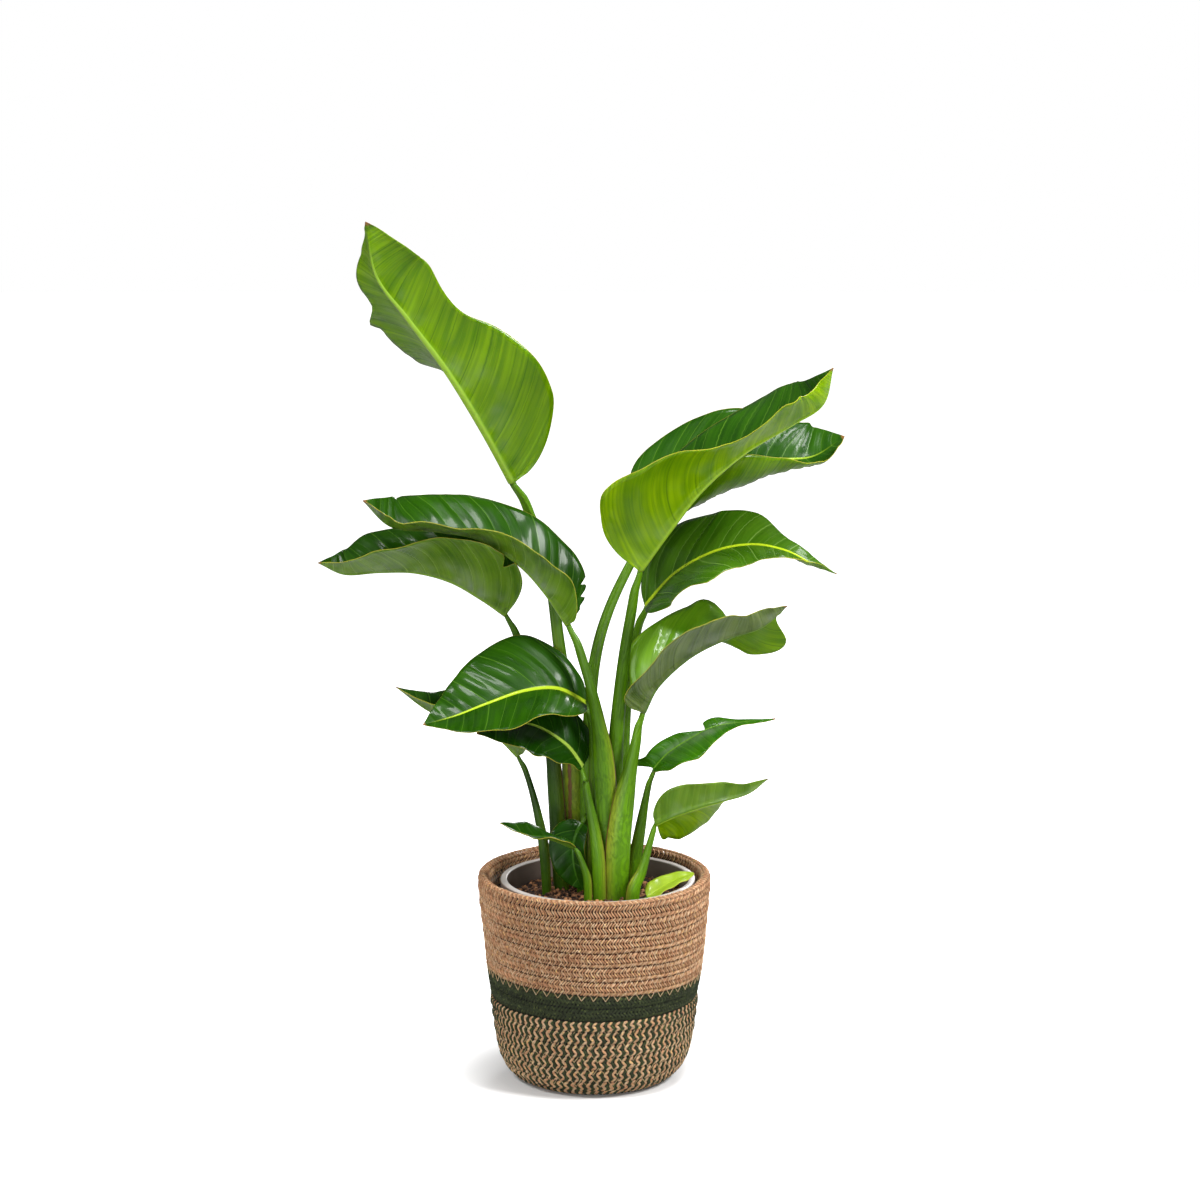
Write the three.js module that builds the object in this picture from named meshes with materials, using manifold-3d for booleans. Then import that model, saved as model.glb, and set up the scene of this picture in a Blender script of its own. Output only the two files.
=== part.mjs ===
// Potted bird of paradise in a sewn rope basket.
// Millimetres, +Z up, +X right and -Y towards the viewer.
// The origin is the middle of the basket's underside.

import * as THREE from 'three';
import { mergeVertices } from 'three/addons/utils/BufferGeometryUtils.js';
import Module from 'manifold-3d';

const wasm = await Module();
wasm.setup();

// Clearances and facet counts
const GAP = 0.3;
const ROUND_FACETS = 36;
const STALK_FACETS = 8;
const STALK_STEP = 36;
const STALK_STEPS_LEAST = 4;

// Basket, whose outer radius is given at a few heights
const BASKET_HEIGHT = 204.6;
const BASKET_WALL = 9;
const BASKET_OUTER = [
  [0, 67], [2, 75.5], [7, 83], [14, 88.8], [28, 94.6], [46, 97.8],
  [83, 101.6], [114, 106.3], [157, 110.5], [182, 112.9], [BASKET_HEIGHT, 113],
];
const FLOOR_TOP = 8;
const ROPE_GROOVE = 1.1;
const ROPE_SHOULDER = 0.25;
const GREEN_BAND = { from: 82.5, to: 109, rows: 2 };
const TWO_TONE_ROWS = 6;
const TAN_WALL_TOP_ROW = 182.5;
const TAN_ROWS = 5;
const RIM_RADIUS = 5.4;
const RIM_BULGE = 0.6;
const RIM_FOOT = 186.5;
const RIM_FACETS = [0.18, 0.5, 0.82];
const RIM_LIFT_AT_BACK = 3.5;

// Clear film that lines the basket
const LINER_FILM = 0.7;
const LINER_HEIGHTS = [16, 46, 83, 114, 157, 194];

// Plastic grow pot, which stands a little off the basket's axis
const POT_X = 3.6;
const POT_BASE = 69;
const POT_MOUTH = 89.4;
const POT_LIP = 95.8;
const POT_LIP_DROP = 13;
const POT_TOP = 199.6;
const POT_WALL = 1.6;
const POT_FOOT_CORNER = 2;
const POT_LIP_CORNER = 0.6;

// Potting soil
const SOIL_EDGE = 180.5;
const SOIL_MOUND = [[68, 1], [40, 2], [0, 2.5]];
const SOIL_RIPPLES = [{ rise: 1, turns: 5, twist: 0 }, { rise: 0.8, turns: 9, twist: 1 }];
const STALK_FOOT = 150;

// Leaf blades
const BLADE_THICKNESS = 0.9;
const MARGIN_THICKNESS = 0.75;
const RIB_DEPTH = 5.5;
const WAVE_SHARE = 0.045;
const WAVES = 3.2;

// One half of a blade: half-widths, fold angles and curl angles from base to tip.
// A fold lifts the half from the midrib, and a curl bends it further out.
// A sweep leans the side margin towards the tip, or back if negative.
function half(width, fold, curl = [0, 0], sweep = 0) {
  return { width, fold, curl, sweep };
}

// Every leaf: midrib points from base to tip, and the way its upper face looks.
// round and taper are the lengths of the rounded base and of the tip, as shares.
const LEAVES = {
  leaf_tall: {
    rib: [[-78, 27, 591], [-106, 6, 644], [-141, -20, 704], [-176, -40, 754], [-204, -58, 796],
      [-212, -70, 847]],
    face: [[0.71, 0.5, 0.49], [0.47, 0.82, 0.33], [0.28, 0.94, 0.19]],
    left: half([50, 61, 73, 76, 64, 45, 42, 47, 44, 47, 42], [60, 40, 30], [0, 0, -10]),
    right: half([50, 56, 61, 63, 62, 55, 54, 37, 38, 32, 26],
      [70, 66, 58, 44, 33, 27, 22, 22, 34, 45, 50], [0, 0], -0.25),
    stem: 4.5, round: 0.2, taper: 0.2, rows: 12, columns: 4,
  },
  leaf_upper_right_front: {
    rib: [[42, -10, 511], [69, -23, 549], [102, -32, 591], [142, -37, 626], [187, -41, 653],
      [217, -44, 673], [226, -48, 708.5]],
    face: [[-0.7, -0.1, 0.7], [-0.55, -0.1, 0.85], [-0.4, -0.1, 0.9]],
    left: half([58, 56, 58, 58, 56, 56, 62, 53, 45, 46, 34], [70, 40, 27, 30, 50]),
    right: half([58, 63, 85, 77, 68, 40, 42, 47, 43, 31, 24],
      [80, 74, 66, 53, 42, 36, 30, 34, 42, 50, 55]),
    stem: 4.5, round: 0.14, taper: 0.2, rows: 12, columns: 4,
  },
  leaf_upper_right_back: {
    rib: [[53, 40, 537], [76, 54, 564], [109, 65, 584], [148, 71, 599], [184, 76, 604],
      [217, 80, 607], [247, 84, 626]],
    face: [[-0.6, -0.4, 0.7], [-0.3, -0.4, 0.9], [-0.2, -0.3, 0.9]],
    left: half([46, 53, 58, 62, 61, 57, 50, 41, 38, 27, 20], [40, 40, 20], [0, 0], 0.3),
    right: half([60, 84, 92, 62, 36, 22], [-20, -32, -30, -10], [120, 160, 115, 30]),
    stem: 4, round: 0.2, taper: 0.12, rows: 12, columns: 5,
  },
  leaf_middle_right: {
    rib: [[49, 16, 468], [79, 5, 503], [116, -14, 527], [152, -22, 535], [183, -32, 531],
      [208, -42, 520], [232, -50, 511]],
    face: [[-0.5, -0.35, 0.8], [-0.2, -0.35, 0.9], [0.2, -0.3, 0.9]],
    left: half([41, 44, 54, 51, 46, 40, 22, 12, 11, 9, 6], [20, 15, 10]),
    right: half([40, 50, 58, 70, 60, 47, 42, 26, 27, 26, 16], [0, 8, 5, -15], [0, 0, 20, 150]),
    stem: 4, round: 0.2, taper: 0.3, rows: 12, columns: 4,
  },
  leaf_folded_right: {
    rib: [[45, -5, 369], [60, -12, 396], [91, -20, 425], [126, -28, 444], [161, -36, 457],
      [185, -44, 479]],
    face: [[-0.8, -0.1, 0.6], [-0.5, 0.1, 0.85], [-0.3, 0.6, 0.7]],
    left: half([26, 36, 46, 50, 50, 49, 26, 26, 27, 10, 0],
      [70, 66, 60, 52, 46, 38, -45, -62, -60, -60, -60], [0, 0], 0.35),
    right: half([34, 33, 32, 34, 44, 54, 45, 37, 30, 24, 20], [50, 35, 25, 20]),
    stem: 4, round: 0.2, taper: 0.2, rows: 12, columns: 4,
  },
  leaf_small_right: {
    rib: [[57, -6, 310], [73, -10, 328], [95, -16, 344], [116, -22, 356], [143, -28, 362],
      [175, -34, 367]],
    face: [[-0.6, -0.35, 0.8], [-0.3, -0.35, 0.9], [-0.1, -0.3, 0.9]],
    left: half([16, 14, 13, 12.5, 10, 3, 8, 9, 5, 3, 2], [50, 35, 20], [0, 0], -1.1),
    right: half([22, 29, 36, 40, 40, 38, 32, 15, 9, 8, 4], [10, 0, -10]),
    stem: 3, round: 0.3, taper: 0.35, rows: 11, columns: 3,
  },
  leaf_low_right: {
    rib: [[60, -20, 260], [80, -26, 270], [103, -32, 279], [124, -38, 286], [149, -44, 295],
      [168, -50, 311]],
    face: [[-0.3, 0.9, 0.3], [-0.2, 0.9, 0.3]],
    left: half([30, 34, 37, 38, 38, 35, 25, 8, 6.5, 6, 5], [10, 15, 25, 70, 75], [0, 0], -0.5),
    right: half([17, 25, 21.5, 15, 12], [20, 20, 20]),
    stem: 2.5, round: 0.25, taper: 0.35, rows: 11, columns: 3,
  },
  leaf_short_in_pot: {
    rib: [[52, -38, 190], [65, -35, 198], [81, -30, 206], [98, -25, 210]],
    face: [[-0.3, -0.4, 0.85], [-0.2, -0.45, 0.85]],
    left: half([10, 11, 9, 7, 8], [20, 20]),
    right: half([12, 13, 10], [15, 20]),
    stem: 2.5, round: 0.2, taper: 0.3, rows: 6, columns: 3,
  },
  leaf_upper_left: {
    rib: [[-23, -4, 456], [-45, -10, 488], [-71, -16, 516], [-109, -24, 541], [-151, -32, 550],
      [-193, -40, 555], [-220, -46, 581]],
    face: [[0.8, -0.05, 0.6], [0.4, -0.05, 0.9], [0, -0.1, 1]],
    left: half([26, 30, 40, 40, 38, 38, 47, 51, 50, 49, 44], [50, 38, 22, 20]),
    right: half([42, 46, 50, 51.5, 52, 52, 48, 45, 44, 36, 28], [60, 45, 32, 35]),
    stem: 4, round: 0.2, taper: 0.12, rows: 12, columns: 4,
  },
  leaf_middle_left: {
    rib: [[-85, 12, 463], [-107, 8, 478], [-138, 2, 496], [-173, -6, 506], [-208, -14, 507],
      [-240, -22, 506], [-265, -28, 518]],
    face: [[0.7, -0.05, 0.6], [0.3, -0.05, 0.9], [-0.1, -0.1, 1]],
    left: half([60, 55, 62, 69, 62, 60, 56, 50, 40, 36, 28], [66, 55, 40, 35]),
    right: half([44, 50, 53, 54, 53, 50, 47, 43, 33, 29, 24], [60, 55, 40, 35]),
    stem: 3.5, round: 0.2, taper: 0.16, rows: 12, columns: 4,
  },
  leaf_front_left: {
    rib: [[-8, -3, 376], [-35, -18, 393], [-67, -34, 394], [-103, -52, 385], [-133, -66, 376],
      [-163, -78, 370]],
    face: [[0.2, -0.5, 0.8], [-0.1, -0.6, 0.8], [-0.1, -0.6, 0.8]],
    left: half([24, 38, 50, 56, 57, 56, 53, 46, 35, 28, 24], [17, 17, 10]),
    right: half([26, 28, 44, 56, 58, 53, 46, 36, 30, 27, 22], [17, 17, 10]),
    stem: 4, round: 0.2, taper: 0.25, rows: 12, columns: 4,
  },
  leaf_under_left: {
    rib: [[-11, -12, 314], [-28, -18, 338], [-57, -28, 358], [-86, -38, 363], [-113, -48, 355]],
    face: [[0.4, -0.5, 0.8], [0, -0.5, 0.8]],
    left: half([14, 16, 26, 37, 46, 50, 48, 44, 42, 36, 26], [10, 10]),
    right: half([26, 36, 32, 22], [15, 15]),
    stem: 3, round: 0.2, taper: 0.25, rows: 10, columns: 3,
  },
  leaf_back_left: {
    rib: [[-74, 20, 320], [-95, 14, 340], [-126, 6, 356], [-160, -2, 367], [-193, -10, 393]],
    face: [[0.4, -0.1, 0.9], [0, -0.1, 1]],
    left: half([30, 36, 30, 20], [35, 35]),
    right: half([30, 36, 30, 24], [35, 35]),
    stem: 3, round: 0.2, taper: 0.35, rows: 9, columns: 3,
  },
  leaf_low_left: {
    rib: [[-19, -24, 238], [-42, -30, 247], [-66, -36, 252], [-92, -42, 265]],
    face: [[0.2, -0.1, 1], [0.2, -0.1, 1]],
    left: half([16, 20, 16, 12], [20, 10]),
    right: half([3, 3, 3, 4, 8, 16, 18.5, 18.5, 17, 15.5, 14], [20, 20]),
    stem: 2.5, round: 0.2, taper: 0.35, rows: 8, columns: 3,
  },
  leaf_hanging_centre: {
    rib: [[-12, -5, 256], [-18, -12, 246], [-21, -15, 229], [-18, -16, 207], [-11, -16, 190]],
    face: [[-0.2, -1, 0.3], [-0.1, -1, 0.2]],
    left: half([12, 12, 12, 8], [15, 15]),
    right: half([17, 18.5, 21.5, 23.5, 23.5, 22.5, 20.5, 18, 15.5, 13, 10], [15, 15]),
    stem: 2.5, round: 0.45, taper: 0.35, rows: 8, columns: 3,
  },
};

// Every stalk, from its blade down: x, y, z, width, depth in front and depth behind.
// Each clasps the ones before it in this list and is cut clear of them.
// side is -1 where the broad outer face looks at the viewer and 1 where it looks away.
// steps is given where a stalk bends over tightly.
const STALKS = {
  stalk_tall: {
    leaf: 'leaf_tall', side: 1,
    path: [[-78, 27, 591, 9, 4, 4], [-64, 30, 560, 10, 4.5, 4.5], [-44, 28, 497, 11, 5, 5],
      [-35, 26, 432, 12, 5.5, 5.5], [-27, 25, 368, 15, 7, 6], [-21, 28, 306, 22, 9, 7],
      [-20, 30, 240, 24, 10, 8], [-19, 30, 179, 23, 10, 8]],
  },
  stalk_upper_right_back: {
    leaf: 'leaf_upper_right_back', side: 1,
    path: [[53, 40, 537, 8, 4, 4], [35, 33, 506, 9, 4, 4], [17, 27, 469, 10, 4.5, 4.5],
      [5, 24, 433, 11, 5, 5], [-2, 21, 393, 12, 5, 5], [-5, 18, 344, 13, 6, 5],
      [-6, 15, 284, 16, 6, 5], [-4, 14, 183, 17, 6, 5]],
  },
  stalk_middle_right: {
    leaf: 'leaf_middle_right', side: 1,
    path: [[49, 16, 468, 8, 4, 4], [42, 25, 440, 8, 4, 4], [35, 25, 403, 9, 4, 4],
      [31, 23, 364, 11, 5, 5], [28, 19, 313, 13, 5, 5], [25, 20, 253, 15, 5, 5],
      [24, 21, 181, 15, 5, 5]],
  },
  stalk_upper_right_front: {
    leaf: 'leaf_upper_right_front', side: -1,
    path: [[42, -10, 511, 9, 4.5, 4.5], [37, -9, 473, 10, 4.5, 4.5], [30, -6, 429, 11, 5, 5],
      [25, -3, 383, 13, 5, 5], [21, 1, 333, 15, 6, 5], [19, 4, 277, 18, 6, 5],
      [20, 6, 185, 19, 6, 5]],
  },
  stalk_front_left: {
    leaf: 'leaf_front_left', side: -1,
    path: [[-8, -3, 376, 8, 4, 4], [-1, -2, 351, 9, 4, 4], [1, -3, 314, 12, 5, 3],
      [1, -4, 259, 14, 5, 3], [0, -4, 188, 14, 5, 3]],
  },
  stalk_hanging_centre: {
    leaf: 'leaf_hanging_centre', side: 1, steps: 12,
    path: [[-12, -5, 256, 4.5, 2.2, 2.2], [-8, 0, 262, 4.5, 2.2, 2.2], [-7, 7, 257, 4.5, 2.2, 2.2],
      [-9, 8, 240, 5, 2.5, 2.5], [-12, 6, 213, 6, 2.5, 2.5], [-14, 4, 186, 6, 2.5, 2.5]],
  },
  stalk_upper_left: {
    leaf: 'leaf_upper_left', side: -1,
    path: [[-23, -4, 456, 8, 4, 4], [-13, -11, 426, 9, 4, 4], [-3, -18, 393, 10, 5, 4],
      [4, -16, 359, 14, 6, 4], [9, -12, 321, 20, 7, 3], [12, -10, 260, 23, 8, 3],
      [13, -8, 189, 24, 8, 3]],
  },
  stalk_small_right: {
    leaf: 'leaf_small_right', side: -1,
    path: [[57, -6, 310, 6, 3, 3], [51, -4, 283, 7, 3, 3], [45, -1, 248, 11, 4, 2],
      [40, 1, 215, 13, 5, 2], [37, 2, 184, 13, 5, 2]],
  },
  stalk_back_left: {
    leaf: 'leaf_back_left', side: -1,
    path: [[-74, 20, 320, 6, 3, 3], [-64, 14, 293, 6, 3, 3], [-56, 8, 264, 8, 3, 2],
      [-50, 4, 231, 10, 3, 2], [-47, 2, 188, 9, 3, 2]],
  },
  stalk_middle_left: {
    leaf: 'leaf_middle_left', side: -1,
    path: [[-85, 12, 463, 8, 3.5, 3.5], [-74, 13, 435, 8, 3.5, 3.5], [-58, 15, 385, 9, 4, 4],
      [-43, 17, 334, 13, 5, 3], [-38, 18, 283, 16, 7, 3], [-35, 18, 233, 17, 7, 3],
      [-32, 18, 182, 16, 7, 3]],
  },
  stalk_folded_right: {
    leaf: 'leaf_folded_right', side: -1,
    path: [[45, -5, 369, 8, 4, 4], [41, -10, 340, 10, 4, 4], [35, -14, 311, 14, 5, 3],
      [29, -18, 282, 21, 6, 2], [24, -21, 243, 24, 7, 2], [22, -22, 193, 24, 7, 2]],
  },
  stalk_under_left: {
    leaf: 'leaf_under_left', side: -1,
    path: [[-11, -12, 314, 6, 3, 3], [-6, -17, 284, 8, 3.5, 3], [0, -22, 255, 11, 4, 2],
      [4, -25, 226, 13, 5, 2], [5, -26, 194, 13, 5, 2]],
  },
  stalk_low_left: {
    leaf: 'leaf_low_left', side: -1,
    path: [[-19, -24, 238, 5, 2.5, 2.5], [-12, -27, 222, 6, 3, 3], [-7, -29, 207, 8, 3, 2],
      [-6, -30, 190, 8, 3, 2]],
  },
  stalk_low_right: {
    leaf: 'leaf_low_right', side: -1,
    path: [[60, -20, 260, 5, 2.5, 2.5], [53, -26, 236, 7, 3, 3], [46, -31, 213, 10, 4, 2],
      [38, -36, 194, 13, 5, 2]],
  },
  stalk_short_in_pot: {
    leaf: 'leaf_short_in_pot', side: -1,
    path: [[52, -38, 190, 5, 2.5, 2.5], [46, -39, 181, 5, 2.5, 2.5], [45, -39, 166, 5, 2.5, 2.5]],
  },
};

// Finishes
const finish = (color, roughness, metalness = 0) =>
  new THREE.MeshStandardMaterial({ color, roughness, metalness });
const FINISHES = {
  tanRope: () => finish(0xa67f5e, 0.9),
  greenRope: () => finish(0x2f3a22, 0.9),
  twoToneRope: () => finish(0x796548, 0.9),
  film: () => finish(0xd8d2c8, 0.2),
  potPlastic: () => finish(0x8d8480, 0.45),
  soil: () => finish(0x33241b, 0.95),
  blade: () => finish(0x2f6b1e, 0.35),
  stalk: () => finish(0x4f8a2c, 0.45),
};

const object = new THREE.Group();

function addPiece(name, geometry, material) {
  const mesh = new THREE.Mesh(geometry, material);
  mesh.name = name;
  object.add(mesh);
  return mesh;
}

// Solids for joining and cutting

function toSolid(geometry) {
  const bare = geometry.clone();
  bare.deleteAttribute('normal');
  bare.deleteAttribute('uv');
  const merged = mergeVertices(bare, 1e-4);
  return new wasm.Manifold(new wasm.Mesh({
    numProp: 3,
    vertProperties: new Float32Array(merged.attributes.position.array),
    triVerts: new Uint32Array(merged.index.array),
  }));
}

function toGeometry(solid) {
  const mesh = solid.getMesh();
  const geometry = new THREE.BufferGeometry();
  geometry.setAttribute('position', new THREE.BufferAttribute(mesh.vertProperties, 3));
  geometry.setIndex(new THREE.BufferAttribute(mesh.triVerts, 1));
  return geometry;
}

function largestPart(solid) {
  const parts = solid.decompose();
  return parts.reduce((best, part) => (part.volume() > best.volume() ? part : best));
}

// Smooth run through equally spaced values

function runAt(values, share) {
  const last = values.length - 1;
  const place = Math.min(Math.max(share, 0) * last, last - 1e-9);
  const index = Math.floor(place);
  const t = place - index;
  const start = values[index];
  const end = values[index + 1];
  const before = index > 0 ? values[index - 1] : 2 * start - end;
  const after = index + 2 <= last ? values[index + 2] : 2 * end - start;
  const linear = end - before;
  const square = 2 * before - 5 * start + 4 * end - after;
  const cube = 3 * start - before - 3 * end + after;
  return 0.5 * (2 * start + linear * t + square * t * t + cube * t * t * t);
}

function pointAt(points, share) {
  const along = (axis) => runAt(points.map((point) => point[axis]), share);
  return new THREE.Vector3(along(0), along(1), along(2));
}

function tangentAt(points, share) {
  const step = 1e-3;
  const ahead = pointAt(points, Math.min(share + step, 1));
  return ahead.sub(pointAt(points, Math.max(share - step, 0))).normalize();
}

function pathLength(points) {
  const start = new THREE.Vector3(...points[0]);
  const end = new THREE.Vector3(...points[points.length - 1]);
  return start.distanceTo(end);
}

// Body from rings of points and the faces between them

function bodyFrom(rings, faces) {
  const positions = rings.flat().flatMap((point) => [point.x, point.y, point.z]);
  const geometry = new THREE.BufferGeometry();
  geometry.setAttribute('position', new THREE.Float32BufferAttribute(positions, 3));
  geometry.setIndex(faces);
  return geometry;
}

// Rings of equal count joined by a skin and capped at both ends
function skin(rings) {
  const count = rings[0].length;
  const faces = [];
  for (let ring = 0; ring + 1 < rings.length; ring += 1) {
    for (let side = 0; side < count; side += 1) {
      const a = ring * count + side;
      const b = ring * count + (side + 1) % count;
      faces.push(a, b, b + count, a, b + count, a + count);
    }
  }
  const top = (rings.length - 1) * count;
  for (let side = 1; side + 1 < count; side += 1) {
    faces.push(0, side + 1, side, top, top + side, top + side + 1);
  }
  return bodyFrom(rings, faces);
}

// Leaf blades

// Share of the full width that the rounded base and the tapering tip leave
function outline(leaf, share) {
  const base = Math.min(share / leaf.round, 1);
  const tip = Math.min((1 - share) / leaf.taper, 1);
  return Math.sqrt(1 - (1 - base) ** 2) * (1 - (1 - tip) ** 1.6);
}

// Midrib frame: where it runs, its upper direction and its right-hand side
function bladeFrame(leaf, share) {
  const along = tangentAt(leaf.rib, share);
  const up = pointAt(leaf.face, share);
  up.addScaledVector(along, -up.dot(along)).normalize();
  return { at: pointAt(leaf.rib, share), along, up, side: along.clone().cross(up) };
}

// Points across one half, from the first column beside the midrib to the margin
function halfColumns(leaf, part, sign, share, frame) {
  const stem = leaf.stem * (1 - share) ** 3 + 0.5;
  const width = Math.max(runAt(part.width, share), 0) * outline(leaf, share) + stem;
  const fold = THREE.MathUtils.degToRad(runAt(part.fold, share));
  const curl = THREE.MathUtils.degToRad(runAt(part.curl, share));
  const first = stem * 0.8;
  const columns = [];
  let out = first * Math.cos(fold * 0.25);
  let rise = first * Math.sin(fold * 0.25);
  let angle = fold * 0.6;
  for (let column = 0; column < leaf.columns; column += 1) {
    const across = column / (leaf.columns - 1);
    const point = frame.at.clone()
      .addScaledVector(frame.side, sign * out)
      .addScaledVector(frame.up, rise)
      .addScaledVector(frame.along, part.sweep * (width - stem) * across ** 2);
    const normal = frame.up.clone().multiplyScalar(Math.cos(angle))
      .addScaledVector(frame.side, -sign * Math.sin(angle));
    const wave = WAVE_SHARE * width * across ** 2 * Math.sin(2 * Math.PI * WAVES * share + sign);
    point.addScaledVector(normal, wave);
    columns.push({ point, normal, thickness: column + 1 < leaf.columns ? 1 : 0 });
    const middle = (column + 0.5) / (leaf.columns - 1);
    const step = (width - first) / (leaf.columns - 1);
    angle = fold + curl * middle;
    out += step * Math.cos(angle);
    rise += step * Math.sin(angle);
  }
  return columns;
}

function bladeRow(leaf, share) {
  const frame = bladeFrame(leaf, share);
  const left = halfColumns(leaf, leaf.left, -1, share, frame).reverse();
  const right = halfColumns(leaf, leaf.right, 1, share, frame);
  const middle = { point: frame.at, normal: frame.up, thickness: 1, rib: (1 - share) ** 1.5 };
  const upper = [];
  const lower = [];
  for (const column of [...left, middle, ...right]) {
    const thickness = column.thickness ? BLADE_THICKNESS : MARGIN_THICKNESS;
    const ridge = column.rib ? column.rib * RIB_DEPTH * leaf.stem / 4 : 0;
    upper.push(column.point.clone().addScaledVector(column.normal, thickness / 2));
    lower.push(column.point.clone().addScaledVector(column.normal, -thickness / 2 - ridge));
  }
  return [...upper, ...lower.reverse()];
}

// Rows lie closer together at the rounded base and at the tip
function rowShare(row, rows) {
  const even = row / rows;
  return 0.4 * even + 0.6 * (0.5 - 0.5 * Math.cos(Math.PI * even));
}

// Both faces of a blade are split along the same diagonals
function bladeGeometry(leaf) {
  const rings = [];
  for (let row = 0; row <= leaf.rows; row += 1) {
    rings.push(bladeRow(leaf, rowShare(row, leaf.rows)));
  }
  const count = rings[0].length;
  const across = count / 2;
  const faces = [];
  const quad = (a, b, c, d) => faces.push(a, b, c, a, c, d);
  for (let row = 0; row < leaf.rows; row += 1) {
    const here = row * count;
    const next = here + count;
    for (let column = 0; column + 1 < across; column += 1) {
      const under = count - 1 - column;
      quad(here + column, here + column + 1, next + column + 1, next + column);
      faces.push(here + under, next + under - 1, here + under - 1);
      faces.push(here + under, next + under, next + under - 1);
    }
    quad(here + across - 1, here + across, next + across, next + across - 1);
    quad(here + count - 1, here, next, next + count - 1);
  }
  const tip = leaf.rows * count;
  for (let column = 0; column + 1 < across; column += 1) {
    const under = count - 1 - column;
    quad(column, under, under - 1, column + 1);
    quad(tip + column, tip + column + 1, tip + under - 1, tip + under);
  }
  return bodyFrom(rings, faces);
}

// Stalks

// A stalk's section is rounder in front than behind, and grow makes it larger all round
function stalkRing(points, share, side, grow, end) {
  const along = end ? end.along : tangentAt(points, share);
  const front = new THREE.Vector3(0, side, 0);
  front.addScaledVector(along, -front.dot(along)).normalize();
  const across = front.clone().cross(along);
  const middle = end ? end.at : pointAt(points, share);
  const size = (index) => runAt(points.map((point) => point[index]), share) + grow;
  const ring = [];
  for (let facet = 0; facet < STALK_FACETS; facet += 1) {
    const angle = 2 * Math.PI * facet / STALK_FACETS;
    const reach = Math.sin(angle) > 0 ? size(4) : size(5);
    ring.push(middle.clone()
      .addScaledVector(across, Math.cos(angle) * (size(3) + grow) / 2)
      .addScaledVector(front, Math.sin(angle) * reach));
  }
  return ring;
}

function stalkGeometry(stalk, grow = 0) {
  const leaf = LEAVES[stalk.leaf];
  const last = stalk.path[stalk.path.length - 1];
  const points = [...stalk.path, [last[0], last[1], STALK_FOOT, ...last.slice(3)]];
  const along = tangentAt(leaf.rib, 0);
  const at = pointAt(leaf.rib, 0).addScaledVector(along, -GAP);
  const evenSteps = Math.round(pathLength(points) / STALK_STEP);
  const steps = stalk.steps ?? Math.max(STALK_STEPS_LEAST, evenSteps);
  const rings = [stalkRing(points, 0, stalk.side, grow, { along: along.negate(), at })];
  for (let step = 1; step <= steps; step += 1) {
    rings.push(stalkRing(points, step / steps, stalk.side, grow));
  }
  return skin(rings);
}

function addLeaves() {
  for (const [name, leaf] of Object.entries(LEAVES)) {
    addPiece(name, bladeGeometry(leaf), FINISHES.blade());
  }
}

function addStalks() {
  const taken = [];
  for (const [name, stalk] of Object.entries(STALKS)) {
    let solid = toSolid(stalkGeometry(stalk));
    for (const inner of taken) {
      solid = solid.subtract(inner);
    }
    addPiece(name, toGeometry(largestPart(solid)), FINISHES.stalk());
    taken.push(toSolid(stalkGeometry(stalk, GAP)));
  }
  return taken;
}

// Basket, pot and soil are turned about the vertical axis

function turned(profile) {
  const points = profile.map(([radius, height]) => new THREE.Vector2(radius, height));
  const geometry = new THREE.LatheGeometry(points, ROUND_FACETS);
  geometry.rotateX(Math.PI / 2);
  return toGeometry(toSolid(geometry));
}

function tableAt(table, height) {
  const index = Math.max(1, table.findIndex(([z]) => z >= height));
  const [lowZ, low] = table[index - 1];
  const [highZ, high] = table[index];
  return low + (high - low) * (height - lowZ) / (highZ - lowZ);
}

const basketOuter = (height) => tableAt(BASKET_OUTER, height);
const basketInner = (height) => basketOuter(height) - BASKET_WALL;

// Outer outline of stacked rope rows, with a groove at each seam
function ropeRows(from, to, rows) {
  const rise = (to - from) / rows;
  const outer = [];
  for (let row = 0; row < rows; row += 1) {
    const low = from + row * rise;
    const lower = low + rise * ROPE_SHOULDER;
    const upper = low + rise * (1 - ROPE_SHOULDER);
    outer.push([basketOuter(low) - ROPE_GROOVE, low]);
    outer.push([basketOuter(lower), lower]);
    outer.push([basketOuter(upper), upper]);
  }
  outer.push([basketOuter(to) - ROPE_GROOVE, to]);
  return outer;
}

function innerWall(from, to) {
  const heights = BASKET_OUTER.map(([z]) => z).filter((z) => z > from && z < to);
  return [from, ...heights, to].map((z) => [basketInner(z), z]).reverse();
}

const closed = (profile) => [...profile, profile[0]];

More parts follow.
